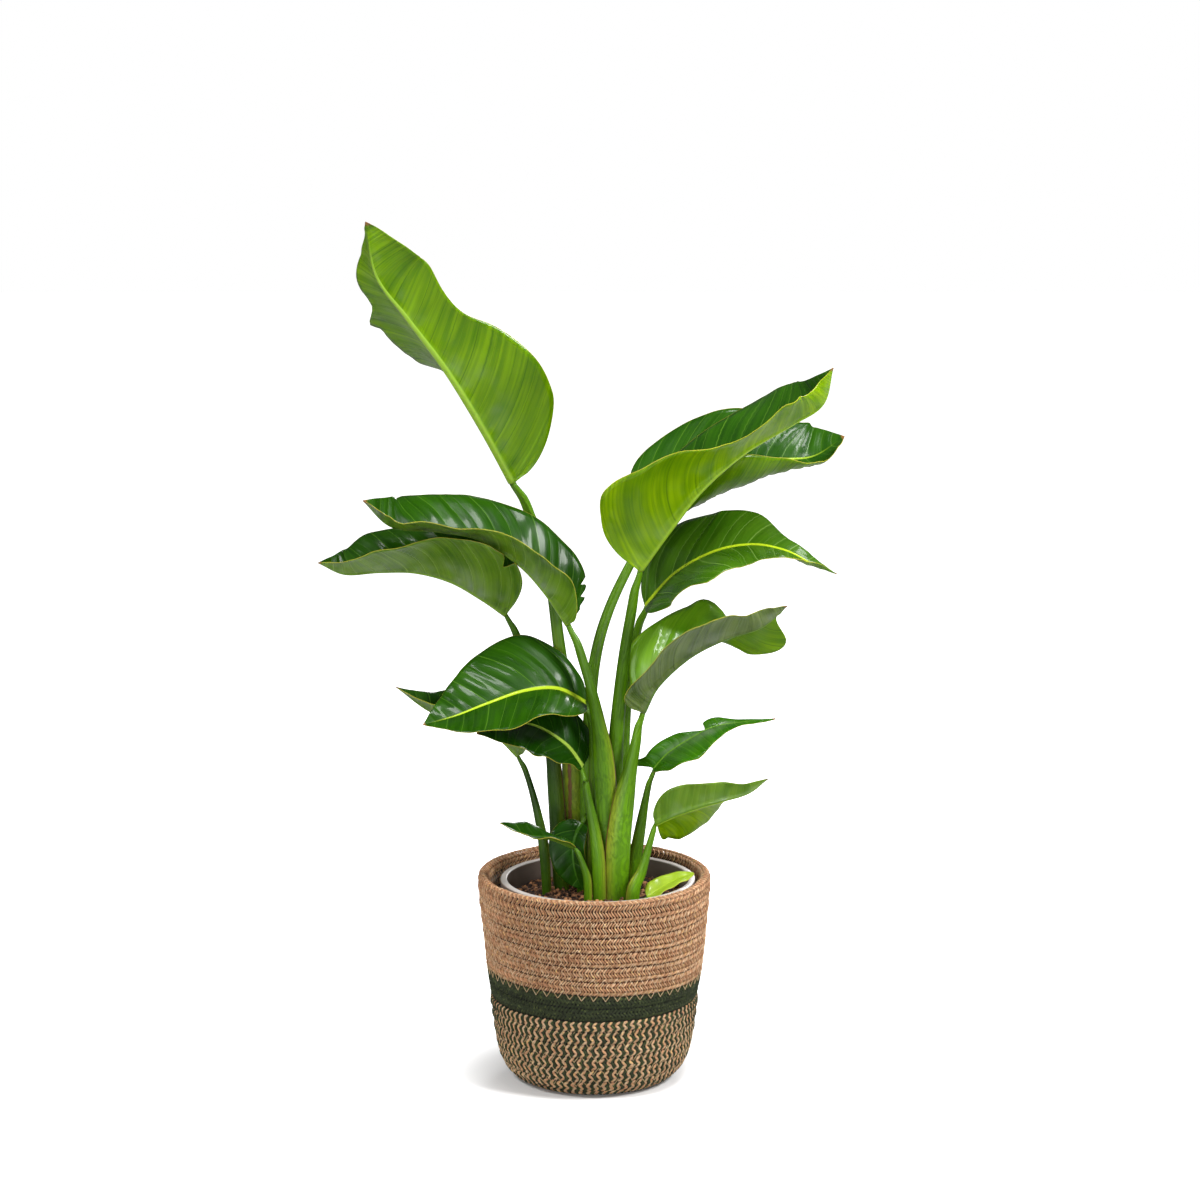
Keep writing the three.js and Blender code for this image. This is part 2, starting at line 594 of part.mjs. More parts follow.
function addBasket() {
  const corner = basketOuter(FLOOR_TOP);
  addPiece('basket_base', turned([
    [0, 0], [BASKET_OUTER[0][1], 0], [BASKET_OUTER[1][1], BASKET_OUTER[1][0]],
    [corner - ROPE_GROOVE, FLOOR_TOP], [0, FLOOR_TOP],
  ]), FINISHES.twoToneRope());

  const wallFoot = FLOOR_TOP + GAP;
  const twoToneTop = GREEN_BAND.from - GAP;
  addPiece('basket_two_tone_wall', turned(closed([
    ...ropeRows(wallFoot, twoToneTop, TWO_TONE_ROWS), ...innerWall(wallFoot, twoToneTop),
  ])), FINISHES.twoToneRope());

  addPiece('basket_green_band', turned(closed([
    ...ropeRows(GREEN_BAND.from, GREEN_BAND.to - GAP, GREEN_BAND.rows),
    ...innerWall(GREEN_BAND.from, GREEN_BAND.to - GAP),
  ])), FINISHES.greenRope());

  const shoulder = BASKET_HEIGHT - RIM_RADIUS;
  const rimMiddle = basketOuter(BASKET_HEIGHT) - BASKET_WALL / 2;
  const rim = RIM_FACETS.map((turn) => [
    rimMiddle + (BASKET_WALL / 2 + RIM_BULGE) * Math.cos(Math.PI * turn),
    shoulder + RIM_RADIUS * Math.sin(Math.PI * turn),
  ]);
  const tanWall = turned(closed([
    ...ropeRows(GREEN_BAND.to, TAN_WALL_TOP_ROW, TAN_ROWS),
    [basketOuter(RIM_FOOT) + RIM_BULGE, RIM_FOOT],
    [basketOuter(shoulder) + RIM_BULGE, shoulder],
    ...rim,
    [basketInner(shoulder), shoulder],
    ...innerWall(GREEN_BAND.to, TAN_WALL_TOP_ROW),
  ]));
  const position = tanWall.attributes.position;
  for (let index = 0; index < position.count; index += 1) {
    const back = 0.5 + 0.5 * position.getY(index) / BASKET_OUTER[BASKET_OUTER.length - 1][1];
    if (position.getZ(index) > TAN_WALL_TOP_ROW + 1) {
      position.setZ(index, position.getZ(index) + RIM_LIFT_AT_BACK * back);
    }
  }
  addPiece('basket_tan_wall', tanWall, FINISHES.tanRope());
}

function addLiner() {
  const foot = FLOOR_TOP + GAP;
  const outer = [foot, ...LINER_HEIGHTS].map((z) => [basketInner(z) - GAP, z]);
  const inner = outer.map(([radius, z]) => [radius - LINER_FILM, Math.max(z, foot + LINER_FILM)]);
  addPiece('basket_liner', turned([[0, foot], ...outer, ...inner.reverse(), [0, foot + LINER_FILM]]),
    FINISHES.film());
}

const POT_FOOT = FLOOR_TOP + 2 * GAP + LINER_FILM;
const POT_FLOOR = POT_FOOT + 2 * POT_WALL;

// Inner radius of the pot's tapering wall
function potInner(height) {
  const share = (height - POT_FLOOR) / (POT_TOP - POT_FLOOR);
  return POT_BASE - POT_WALL + (POT_MOUTH - POT_BASE + POT_WALL) * share;
}

function addPot() {
  const lipUnder = POT_TOP - POT_WALL;
  const lipFoot = POT_TOP - POT_LIP_DROP;
  const geometry = turned([
    [0, POT_FOOT], [POT_BASE - POT_FOOT_CORNER, POT_FOOT], [POT_BASE, POT_FOOT + POT_FOOT_CORNER],
    [potInner(lipUnder) + POT_WALL, lipUnder], [POT_LIP - POT_WALL, lipUnder],
    [POT_LIP - POT_WALL, lipFoot], [POT_LIP, lipFoot], [POT_LIP, POT_TOP - POT_LIP_CORNER],
    [POT_LIP - POT_LIP_CORNER, POT_TOP], [POT_MOUTH + POT_LIP_CORNER, POT_TOP],
    [POT_MOUTH, POT_TOP - POT_LIP_CORNER],
    [potInner(POT_FLOOR), POT_FLOOR], [0, POT_FLOOR],
  ]);
  geometry.translate(POT_X, 0, 0);
  addPiece('grow_pot', geometry, FINISHES.potPlastic());
}

function addSoil(stalkHoles) {
  const foot = POT_FLOOR + GAP;
  const points = [
    [0, foot], [potInner(foot) - GAP, foot], [potInner(SOIL_EDGE) - GAP, SOIL_EDGE],
    ...SOIL_MOUND.map(([radius, rise]) => [radius, SOIL_EDGE + rise]),
  ].map(([radius, height]) => new THREE.Vector2(radius, height));
  const geometry = new THREE.LatheGeometry(points, ROUND_FACETS);
  geometry.rotateX(Math.PI / 2);
  const position = geometry.attributes.position;
  for (let index = 0; index < position.count; index += 1) {
    const z = position.getZ(index);
    const radius = Math.hypot(position.getX(index), position.getY(index));
    const angle = Math.atan2(position.getY(index), position.getX(index));
    if (z > SOIL_EDGE + 0.5 && radius > 1) {
      const ripples = SOIL_RIPPLES.map(({ rise, turns, twist }) => (
        rise * Math.sin(turns * angle + twist * radius)));
      position.setZ(index, z + ripples.reduce((sum, ripple) => sum + ripple, 0));
    }
  }
  geometry.translate(POT_X, 0, 0);
  let solid = toSolid(geometry);
  for (const hole of stalkHoles) {
    solid = solid.subtract(hole);
  }
  addPiece('potting_soil', toGeometry(largestPart(solid)), FINISHES.soil());
}

addBasket();
addLiner();
addPot();
addLeaves();
addSoil(addStalks());

export default object;
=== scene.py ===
"""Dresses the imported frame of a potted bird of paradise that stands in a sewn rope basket.

Lengths are metres, +Z is up, +X is to the right and -Y is towards the viewer, as in the frame.
"""

import logging
import math
import random
from collections.abc import Callable, Iterable, Sequence
from dataclasses import dataclass
from enum import Enum

import bmesh
import bpy
from mathutils import Matrix, Vector, noise


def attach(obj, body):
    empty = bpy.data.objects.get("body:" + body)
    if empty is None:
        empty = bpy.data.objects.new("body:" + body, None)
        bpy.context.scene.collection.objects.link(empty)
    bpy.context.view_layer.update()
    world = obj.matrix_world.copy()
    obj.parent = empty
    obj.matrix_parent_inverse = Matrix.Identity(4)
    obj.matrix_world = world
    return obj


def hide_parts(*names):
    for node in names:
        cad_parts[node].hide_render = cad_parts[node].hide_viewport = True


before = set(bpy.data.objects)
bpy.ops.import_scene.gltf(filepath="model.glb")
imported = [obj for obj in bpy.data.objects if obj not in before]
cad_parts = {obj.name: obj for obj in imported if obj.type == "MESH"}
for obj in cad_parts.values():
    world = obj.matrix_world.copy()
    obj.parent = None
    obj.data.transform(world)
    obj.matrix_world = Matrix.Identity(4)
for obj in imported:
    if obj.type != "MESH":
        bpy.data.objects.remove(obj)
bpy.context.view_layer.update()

LOG = logging.getLogger("potted_plant")
BODY = "root"
UP = Vector((0.0, 0.0, 1.0))
# Without a seed, vector noise follows the clock
NOISE_SEED = 5

# How a blade's side veins run: slant, bend, distance apart, and how unevenly they are spaced
VEIN_LEAN = 0.5
VEIN_BEND = 3.0
VEIN_PITCH = 0.015
VEIN_JITTER = 150.0
VEIN_SHIFT = 0.0022
# Widths of the fine lines, the bands and the mottling between the veins
STREAK_WIDTH = 0.0011
BAND_WIDTH = 0.0032
MOTTLE_WIDTH = 0.013
# How a blade's surface moves: its margin's waves as a share of its width, and how many there are,
# and the depths of its ripples and of the pleats between its side veins
WAVE_SHARE = 0.045
WAVE_COUNT = 3.2
RIPPLE = 0.0034
FINE_RIPPLE = 0.0008
PLEAT = 0.0016
# Cells across half a midrib
RIB_CELLS = 4
# Material indices of a blade's faces after the upper one
UNDER = 1
EDGE = 2
UNDER_LEFT = 3

Point = tuple[float, float, float]
# Radius and height
Ring = tuple[float, float]
# A display colour as six hexadecimal digits
Colour = str
Socket = bpy.types.NodeSocket
Material = bpy.types.Material
Mesh = bmesh.types.BMesh


def linear(colour: Colour) -> tuple[float, ...]:
    """Turns a display colour into a linear one.

    Args:
        colour: The display colour.

    Returns:
        Red, green, blue and full alpha.
    """
    shares = [int(colour[start:start + 2], 16) / 255 for start in (0, 2, 4)]
    parts = [share / 12.92 if share <= 0.04045 else ((share + 0.055) / 1.055) ** 2.4 for share in shares]
    return (*parts, 1.0)


def run_at(values: Sequence[float], share: float) -> float:
    """Reads a smooth run through equally spaced values.

    Args:
        values: The values, first to last.
        share: The place along the run, from 0 to 1.

    Returns:
        The value there.
    """
    last = len(values) - 1
    place = min(max(share, 0.0) * last, last - 1e-9)
    index = int(place)
    t = place - index
    start, end = values[index], values[index + 1]
    before = values[index - 1] if index > 0 else 2 * start - end
    after = values[index + 2] if index + 2 <= last else 2 * end - start
    square = 2 * before - 5 * start + 4 * end - after
    cube = 3 * start - before - 3 * end + after
    return 0.5 * (2 * start + (end - before) * t + square * t * t + cube * t * t * t)


def point_at(points: Sequence[Sequence[float]], share: float) -> Vector:
    """Point on a smooth curve through points, at a share of its length."""
    return Vector([run_at([point[axis] for point in points], share) for axis in range(3)])


def tangent_at(points: Sequence[Sequence[float]], share: float, step: float = 0.001) -> Vector:
    """Direction of a smooth curve through points at a share of its length, eased over a step."""
    ahead = point_at(points, min(share + step, 1.0))
    return (ahead - point_at(points, max(share - step, 0.0))).normalized()


def smooth_step(low: float, high: float, value: float) -> float:
    """Rises smoothly from 0 at low to 1 at high."""
    share = min(max((value - low) / (high - low), 0.0), 1.0)
    return share * share * (3 - 2 * share)


def path_length(points: Sequence[Sequence[float]]) -> float:
    """Length of a run of straight lines through points."""
    return sum((Vector(b[:3]) - Vector(a[:3])).length for a, b in zip(points, points[1:]))


# Shader building


class Tree:
    """Adds and links the nodes of one shader tree."""

    def __init__(self, tree: bpy.types.NodeTree) -> None:
        """Takes the tree that the nodes go into."""
        self.tree = tree

    def feed(self, socket: Socket, value: object) -> None:
        """Links a socket to another, or sets its value, where a display colour is made linear."""
        if isinstance(value, bpy.types.NodeSocket):
            self.tree.links.new(value, socket)
        else:
            socket.default_value = linear(value) if isinstance(value, Colour) else value

    def fill(self, node: bpy.types.Node, inputs: dict[str | int, object]) -> bpy.types.Node:
        """Feeds a node's inputs by name or number."""
        for name, value in inputs.items():
            self.feed(node.inputs[name], value)
        return node

    def add(self, kind: str, inputs: dict[str | int, object] | None = None,
            **settings: object) -> bpy.types.Node:
        """Adds a node.

        Args:
            kind: The node's type name, without its ShaderNode prefix.
            inputs: Sockets to link, or values to set, by name or number.
            settings: Attributes to set on the node.

        Returns:
            The new node.
        """
        node = self.tree.nodes.new("ShaderNode" + kind)
        for name, value in settings.items():
            setattr(node, name, value)
        return self.fill(node, inputs or {})

    def math(self, operation: str, first: object, second: object = 0.0, third: object = 0.0) -> Socket:
        """Result of a math node on up to three numbers or sockets."""
        return self.add("Math", {0: first, 1: second, 2: third}, operation=operation).outputs[0]

    def times(self, first: object, second: object) -> Socket:
        """Product of two numbers or sockets."""
        return self.math("MULTIPLY", first, second)

    def line(self, value: object, slope: object, start: object) -> Socket:
        """A start plus a value times a slope."""
        return self.math("MULTIPLY_ADD", value, slope, start)

    def step(self, value: Socket, low: object, high: object) -> Socket:
        """Smooth step of a value from 0 at low to 1 at high."""
        return self.add("MapRange", {"Value": value, "From Min": low, "From Max": high},
                        interpolation_type="SMOOTHSTEP").outputs["Result"]

    def mix(self, share: object, first: object, second: object) -> Socket:
        """Blend of two colours, all second where share is 1."""
        return self.add("Mix", {0: share, 6: first, 7: second}, data_type="RGBA").outputs[2]

    def cover(self, ground: object, mask: object, strength: object, colour: object) -> Socket:
        """The ground with a colour laid over it by a mask, at a strength."""
        return self.mix(self.times(mask, strength), ground, colour)

    def noise(self, vector: Socket, scale: float, detail: float = 2.0) -> Socket:
        """Noise from 0 to 1 over a vector."""
        return self.add("TexNoise", {"Vector": vector, "Scale": scale, "Detail": detail}).outputs["Fac"]

    def vector(self, x: object, y: object, z: object = 0.0) -> Socket:
        """Vector from three numbers or sockets."""
        return self.add("CombineXYZ", {0: x, 1: y, 2: z}).outputs[0]

    def split(self, vector: Socket) -> list[Socket]:
        """The three parts of a vector."""
        return list(self.add("SeparateXYZ", {0: vector}).outputs)

    def uv(self, name: str) -> Socket:
        """Coordinates of a named UV map."""
        return self.add("UVMap", uv_map=name).outputs["UV"]

    def place(self) -> Socket:
        """Object coordinates in metres."""
        return self.add("TexCoord").outputs["Object"]

    def radius(self) -> Socket:
        """Distance from the upright axis in metres."""
        x, y, _ = self.split(self.place())
        return self.math("SQRT", self.math("ADD", self.times(x, x), self.times(y, y)))

    def group(self, group: bpy.types.NodeTree, inputs: dict[str, object]) -> bpy.types.NodeOutputs:
        """Outputs of a node group that is placed with its inputs."""
        node = self.tree.nodes.new("ShaderNodeGroup")
        node.node_tree = group
        return self.fill(node, inputs).outputs

    def bump(self, height: Socket, depth: float) -> Socket:
        """Normal bent by a height from 0 to 1, where depth is the relief in metres."""
        return self.add("Bump", {"Height": height, "Distance": depth, "Strength": 1.0}).outputs["Normal"]


def new_group(name: str, inputs: dict[str, str],
              outputs: Sequence[str]) -> tuple[Tree, Callable, bpy.types.NodeOutputs]:
    """Starts a shader node group.

    Args:
        name: The group's name.
        inputs: Socket type by input name.
        outputs: Names of the outputs, which are numbers.

    Returns:
        The tree, a function that sets an output, and the group input's sockets.
    """
    group = bpy.data.node_groups.new(name, "ShaderNodeTree")
    for label, kind in inputs.items():
        group.interface.new_socket(label, in_out="INPUT", socket_type="NodeSocket" + kind)
    for label in outputs:
        group.interface.new_socket(label, in_out="OUTPUT", socket_type="NodeSocketFloat")
    source = group.nodes.new("NodeGroupInput")
    target = group.nodes.new("NodeGroupOutput")

    def put(label: str, value: Socket) -> None:
        """Links a value to one of the group's outputs."""
        group.links.new(value, target.inputs[label])

    return Tree(group), put, source.outputs


def new_material(name: str) -> tuple[Material, Tree, bpy.types.Node]:
    """Starts a material.

    Args:
        name: The material's name.

    Returns:
        The material, its tree and its Principled shader.
    """
    material = bpy.data.materials.new(name)
    material.use_nodes = True
    tree = material.node_tree
    tree.nodes.clear()
    shader = tree.nodes.new("ShaderNodeBsdfPrincipled")
    output = tree.nodes.new("ShaderNodeOutputMaterial")
    tree.links.new(shader.outputs[0], output.inputs[0])
    return material, Tree(tree), shader


class Effects:
    """Shader groups that several materials share, each built once."""

    def __init__(self) -> None:
        """Builds both groups."""
        self.blade_veins = self._blade_veins()
        self.fibres = self._fibres()

    def _blade_veins(self) -> bpy.types.NodeTree:
        """Draws the veins, streaks, midrib, margin and tip of a blade from its two UV maps.

        Returns:
            The group.
        """
        tree, put, given = new_group(
            "blade_veins",
            {"Metres": "Vector", "Shares": "Vector", "Vein Pitch": "Float", "Rib Width": "Float"},
            ("Veins", "Streaks", "Bands", "Mottle", "Rib", "Margin", "Tip", "Relief"))
        along, across, _ = tree.split(given["Metres"])
        share, edge, _ = tree.split(given["Shares"])
        out = tree.math("ABSOLUTE", across)
        side = tree.math("SIGN", across)
        # A side vein leaves the midrib at a slant and bends towards the tip
        lean = tree.times(out, VEIN_LEAN)
        bend = tree.times(tree.times(out, out), VEIN_BEND)
        flow = tree.math("SUBTRACT", tree.math("SUBTRACT", along, lean), bend)
        flow = tree.line(tree.math("SINE", tree.times(flow, VEIN_JITTER)), VEIN_SHIFT, flow)
        turn = tree.times(tree.math("DIVIDE", flow, given["Vein Pitch"]), math.pi)
        cycle = tree.math("ABSOLUTE", tree.math("SINE", turn))
        # Some veins stay faint
        strong = tree.step(tree.noise(tree.vector(tree.times(flow, 60.0), side), 1.0, 0.0), 0.35, 0.6)
        put("Veins", tree.times(tree.step(cycle, 0.13, 0.02), tree.line(strong, 0.7, 0.3)))

        def lines(width: float, drift: float) -> Socket:
            """Noise that is stretched along the veins."""
            place = tree.vector(tree.math("DIVIDE", flow, width), tree.times(out, drift), side)
            return tree.noise(place, 1.0, 1.0)

        streaks = lines(STREAK_WIDTH, 8.0)
        put("Streaks", tree.step(streaks, 0.3, 0.7))
        put("Bands", tree.step(lines(BAND_WIDTH, 10.0), 0.34, 0.66))
        put("Mottle", tree.step(lines(MOTTLE_WIDTH, 22.0), 0.32, 0.68))
        rib_width = tree.times(tree.line(share, -0.8, 1.0), given["Rib Width"])
        rib = tree.step(tree.math("DIVIDE", out, rib_width), 1.2, 0.75)
        put("Rib", tree.times(rib, tree.step(share, 0.98, 0.72)))
        ragged = tree.noise(tree.vector(tree.times(share, 60.0), edge), 1.0)
        limit = tree.line(ragged, 0.012, 0.984)
        put("Margin", tree.step(tree.math("ABSOLUTE", edge), limit, tree.math("ADD", limit, 0.012)))
        put("Tip", tree.step(tree.line(ragged, 0.012, share), 0.985, 1.0))
        pleat = tree.times(tree.math("POWER", cycle, 0.5), 0.55)
        put("Relief", tree.line(streaks, 0.3, pleat))
        return tree.tree

    def _fibres(self) -> bpy.types.NodeTree:
        """Draws the lengthwise fibres of a strand or stalk from a UV map that runs along it.

        Returns:
            The group.
        """
        tree, put, given = new_group(
            "fibres", {"Run": "Vector", "Place": "Vector", "Lines": "Float", "Stretch": "Float"},
            ("Fibres", "Patches"))
        along, around, _ = tree.split(given["Run"])
        stretched = tree.vector(tree.times(along, given["Stretch"]), tree.times(around, given["Lines"]),
                                tree.times(tree.noise(given["Place"], 45.0, 0.0), 8.0))
        put("Fibres", tree.step(tree.noise(stretched, 1.0, 3.0), 0.32, 0.68))
        put("Patches", tree.step(tree.noise(given["Place"], 180.0, 1.0), 0.3, 0.7))
        return tree.tree


@dataclass(frozen=True)
class LeafFinish:
    """Colours and gloss of one face of a blade.

    stripes says how strongly the fine bands between the veins show. A pale painted sheen, a
    painted highlight for the glints along the keel, lies beside the midrib at the sheen's strength.
    """

    ground: Colour
    light: Colour
    vein: Colour
    rib: Colour
    roughness: float
    coat: float
    stripes: float = 0.35
    vein_share: float = 0.55
    specular: float = 0.3
    glow: float = 0.0
    # How strongly the painted sheen, a pale highlight, shows beside the midrib
    sheen_strength: float = 0.0
    relief: float = 0.0005
    pitch: float = VEIN_PITCH
    rib_width: float = 0.0030
    margin: Colour = "ac9e3e"
    tip: Colour = "845c34"
    # Colour of the painted sheen
    painted_sheen: Colour = "bac4ac"

    def build(self, name: str, effects: Effects) -> Material:
        """Makes the material.

        Args:
            name: The material's name.
            effects: The shared shader groups.

        Returns:
            The finished material.
        """
        material, tree, shader = new_material(name)
        place = tree.place()
        shares = tree.uv("shares")
        veins = tree.group(effects.blade_veins, {
            "Metres": tree.uv("metres"), "Shares": shares, "Vein Pitch": self.pitch,
            "Rib Width": self.rib_width})
        mottle = veins["Mottle"]
        ground = tree.cover(self.ground, mottle, 0.6, self.light)
        ground = tree.cover(ground, tree.step(tree.noise(place, 17.0), 0.35, 0.65), 0.45, self.light)
        ground = tree.cover(ground, veins["Bands"], self.stripes, self.ground)
        ground = tree.cover(ground, veins["Streaks"], 0.22, self.light)
        ground = tree.cover(ground, veins["Veins"], self.vein_share, self.vein)
        # Painted sheen beside the midrib, broken by noise, which stands in for glints along the keel
        if self.sheen_strength:
            near = tree.step(tree.math("ABSOLUTE", tree.split(shares)[1]), 0.62, 0.08)
            painted_sheen = tree.times(near, tree.step(tree.noise(place, 30.0), 0.42, 0.66))
            ground = tree.cover(ground, tree.times(painted_sheen, tree.line(mottle, -0.6, 1.0)), self.sheen_strength, self.painted_sheen)
        ground = tree.mix(veins["Rib"], ground, self.rib)
        ground = tree.cover(ground, veins["Margin"], 0.8, self.margin)
        # Some light passes through the thin blade
        tree.fill(shader, {
            "Base Color": tree.mix(veins["Tip"], ground, self.tip),
            "Roughness": tree.line(mottle, 0.06, self.roughness),
            "Specular IOR Level": self.specular,
            "Coat Weight": tree.line(veins["Margin"], -self.coat, self.coat), "Coat Roughness": 0.1,
            "Subsurface Weight": self.glow, "Subsurface Radius": (0.7, 1.0, 0.1),
            "Subsurface Scale": 0.0015,
            "Normal": tree.bump(veins["Relief"], self.relief)})
        return material


@dataclass(frozen=True)
class StalkFinish:
    """Colours of a stalk, from its green neck to its sheath with one dry margin."""

    dark: Colour = "1c3a02"
    neck: Colour = "60900c"
    sheath: Colour = "689e08"
    olive: Colour = "9ea032"
    dry: Colour = "683e26"

    def build(self, effects: Effects) -> Material:
        """Makes the material.

        Args:
            effects: The shared shader groups.

        Returns:
            The finished material.
        """
        material, tree, shader = new_material("stalk_skin")
        run = tree.uv("run")
        along, around, _ = tree.split(run)
        share, tone, _ = tree.split(tree.uv("shares"))
        place = tree.place()
        fibres = tree.group(effects.fibres, {"Run": run, "Place": place, "Lines": 26.0, "Stretch": 9.0})
        crest = tree.line(tree.step(share, 0.25, 0.0), 0.45, tone)
        low = tree.step(share, 0.3, 0.62)
        ground = tree.cover(tree.mix(crest, self.dark, self.neck), low, tree.line(tone, 0.8, 0.06),
                            self.sheath)
        # The free margin of the sheath runs down one side, with a pale band beside it
        ragged = tree.noise(tree.vector(tree.times(along, 160.0), around), 1.0, 3.0)
        turn = tree.times(tree.math("ABSOLUTE", tree.math("SUBTRACT", around, 0.5)), 2.0)
        turn = tree.line(ragged, 0.09, turn)
        band = tree.times(low, tree.line(tone, 0.8, 0.2))
        ground = tree.cover(ground, tree.step(turn, 0.6, 0.95), band, self.olive)
        ground = tree.cover(ground, fibres["Fibres"], 0.45, self.dark)
        ground = tree.cover(ground, tree.step(tree.noise(place, 26.0), 0.35, 0.65), 0.2, self.neck)
        # Painted shade: the stalk is painted darker towards its foot, where the stalks crowd into the pot
        ground = tree.cover(ground, tree.step(share, 0.72, 1.0), 0.7, self.dark)
        edge = tree.times(tree.step(turn, 0.98, 1.01), low)
        tree.fill(shader, {
            "Base Color": tree.cover(ground, edge, 0.85, self.dry),
            "Roughness": tree.line(fibres["Fibres"], 0.16, 0.36), "Specular IOR Level": 0.15,
            "Coat Weight": 0.15, "Coat Roughness": 0.16,
            "Normal": tree.bump(fibres["Fibres"], 0.0003)})
        return material


@dataclass(frozen=True)
class RopeFinish:
    """Colours of braided paper rope or thread."""

    ground: Colour
    light: Colour
    shade: Colour
    speck: Colour

    def build(self, name: str, effects: Effects) -> Material:
        """Makes the material.

        Args:
            name: The material's name.
            effects: The shared shader groups.

        Returns:
            The finished material.
        """
        material, tree, shader = new_material(name)
        place = tree.place()
        around, along, _ = tree.split(tree.uv("run"))
        fibres = tree.group(effects.fibres, {
            "Run": tree.vector(along, around), "Place": place, "Lines": 14.0, "Stretch": 1.2})
        ground = tree.mix(fibres["Patches"], self.ground, self.light)
        ground = tree.cover(ground, fibres["Fibres"], 0.85, self.shade)
        ground = tree.cover(ground, tree.step(tree.noise(place, 34.0), 0.35, 0.7), 0.2, self.shade)
        specks = tree.step(tree.noise(place, 420.0, 0.0), 0.66, 0.72)
        tree.fill(shader, {
            "Base Color": tree.cover(ground, specks, 0.7, self.speck),
            "Roughness": tree.line(fibres["Fibres"], 0.15, 0.72),
            "Normal": tree.bump(fibres["Fibres"], 0.0006)})
        return material


@dataclass(frozen=True)
class CrumbFinish:
    """Colours and grain of peat, crumbs and plant fibre."""

    ground: Colour
    light: Colour
    scale: float

    def build(self, name: str) -> Material:
        """Makes the material.

        Args:
            name: The material's name.

        Returns:
            The finished material.
        """
        material, tree, shader = new_material(name)
        place = tree.place()
        grains = tree.noise(place, self.scale, 4.0)
        tree.fill(shader, {
            "Base Color": tree.mix(tree.step(grains, 0.42, 0.68), self.ground, self.light),
            "Roughness": tree.line(grains, 0.2, 0.75),
            "Normal": tree.bump(tree.noise(place, self.scale * 2.5, 3.0), 0.0015)})
        return material


@dataclass(frozen=True)
class PotFinish:
    """Moulded grey-brown plastic, with a painted highlight that lightens the lip and painted shade that
    darkens the inner face.
    """

    wall: Colour = "80736a"
    inside_shade_and_dust: Colour = "70625a"
    # Colour of the painted highlight on the lip
    lip: Colour = "beb6b0"
    lip_bottom: float = 0.1985

    def build(self) -> Material:
        """Makes the material.

        Returns:
            The finished material.
        """
        material, tree, shader = new_material("pot_plastic")
        place = tree.place()
        z = tree.split(place)[2]
        radius = tree.radius()
        cloud = tree.noise(place, 30.0, 3.0)
        # Painted shade: the inner face is painted darker than the outer one
        wall = tree.mix(tree.step(radius, 0.088, 0.0925), self.inside_shade_and_dust, self.wall)
        # Painted highlight: the lip is painted lighter above lip_bottom
        top = tree.step(tree.line(cloud, 0.0006, z), self.lip_bottom, self.lip_bottom + 0.0007)
        dust = tree.step(tree.noise(place, 210.0, 3.0), 0.5, 0.8)
        scratches = tree.noise(tree.vector(tree.times(radius, 900.0), z), 1.0)
        tree.fill(shader, {
            "Base Color": tree.cover(tree.mix(top, wall, self.lip), dust, 0.25, self.inside_shade_and_dust),
            "Roughness": tree.line(cloud, 0.25, 0.22),
            "Normal": tree.bump(scratches, 0.00008)})
        return material


@dataclass(frozen=True)
class FilmFinish:
    """Clear film whose creases carry painted highlights, whiter and less clear."""

    crease_highlight: Colour = "e8e4de"
    dim: Colour = "c8beb2"

    def build(self) -> Material:
        """Makes the material.

        Returns:
            The finished material.
        """
        material, tree, shader = new_material("clear_film")
        x, y, z = tree.split(tree.place())
        creases = tree.noise(tree.vector(tree.times(x, 90.0), tree.times(y, 90.0), tree.times(z, 30.0)),
                             1.0, 3.0)
        # Painted highlight: the crease ridges turn whitish and less clear
        ridge = tree.step(creases, 0.52, 0.75)
        tree.fill(shader, {
            "Base Color": tree.mix(ridge, self.dim, self.crease_highlight), "Alpha": tree.line(ridge, 0.4, 0.1),
            "Roughness": tree.line(creases, 0.2, 0.08), "Normal": tree.bump(creases, 0.002)})
        return material


YOUNG_LEAF = {"pitch": 0.008, "rib_width": 0.0012}
LIME_LEAF = {"pitch": 0.009, "rib_width": 0.0012, "stripes": 0.15, "vein_share": 0.2,
             "margin": "c4be54"}


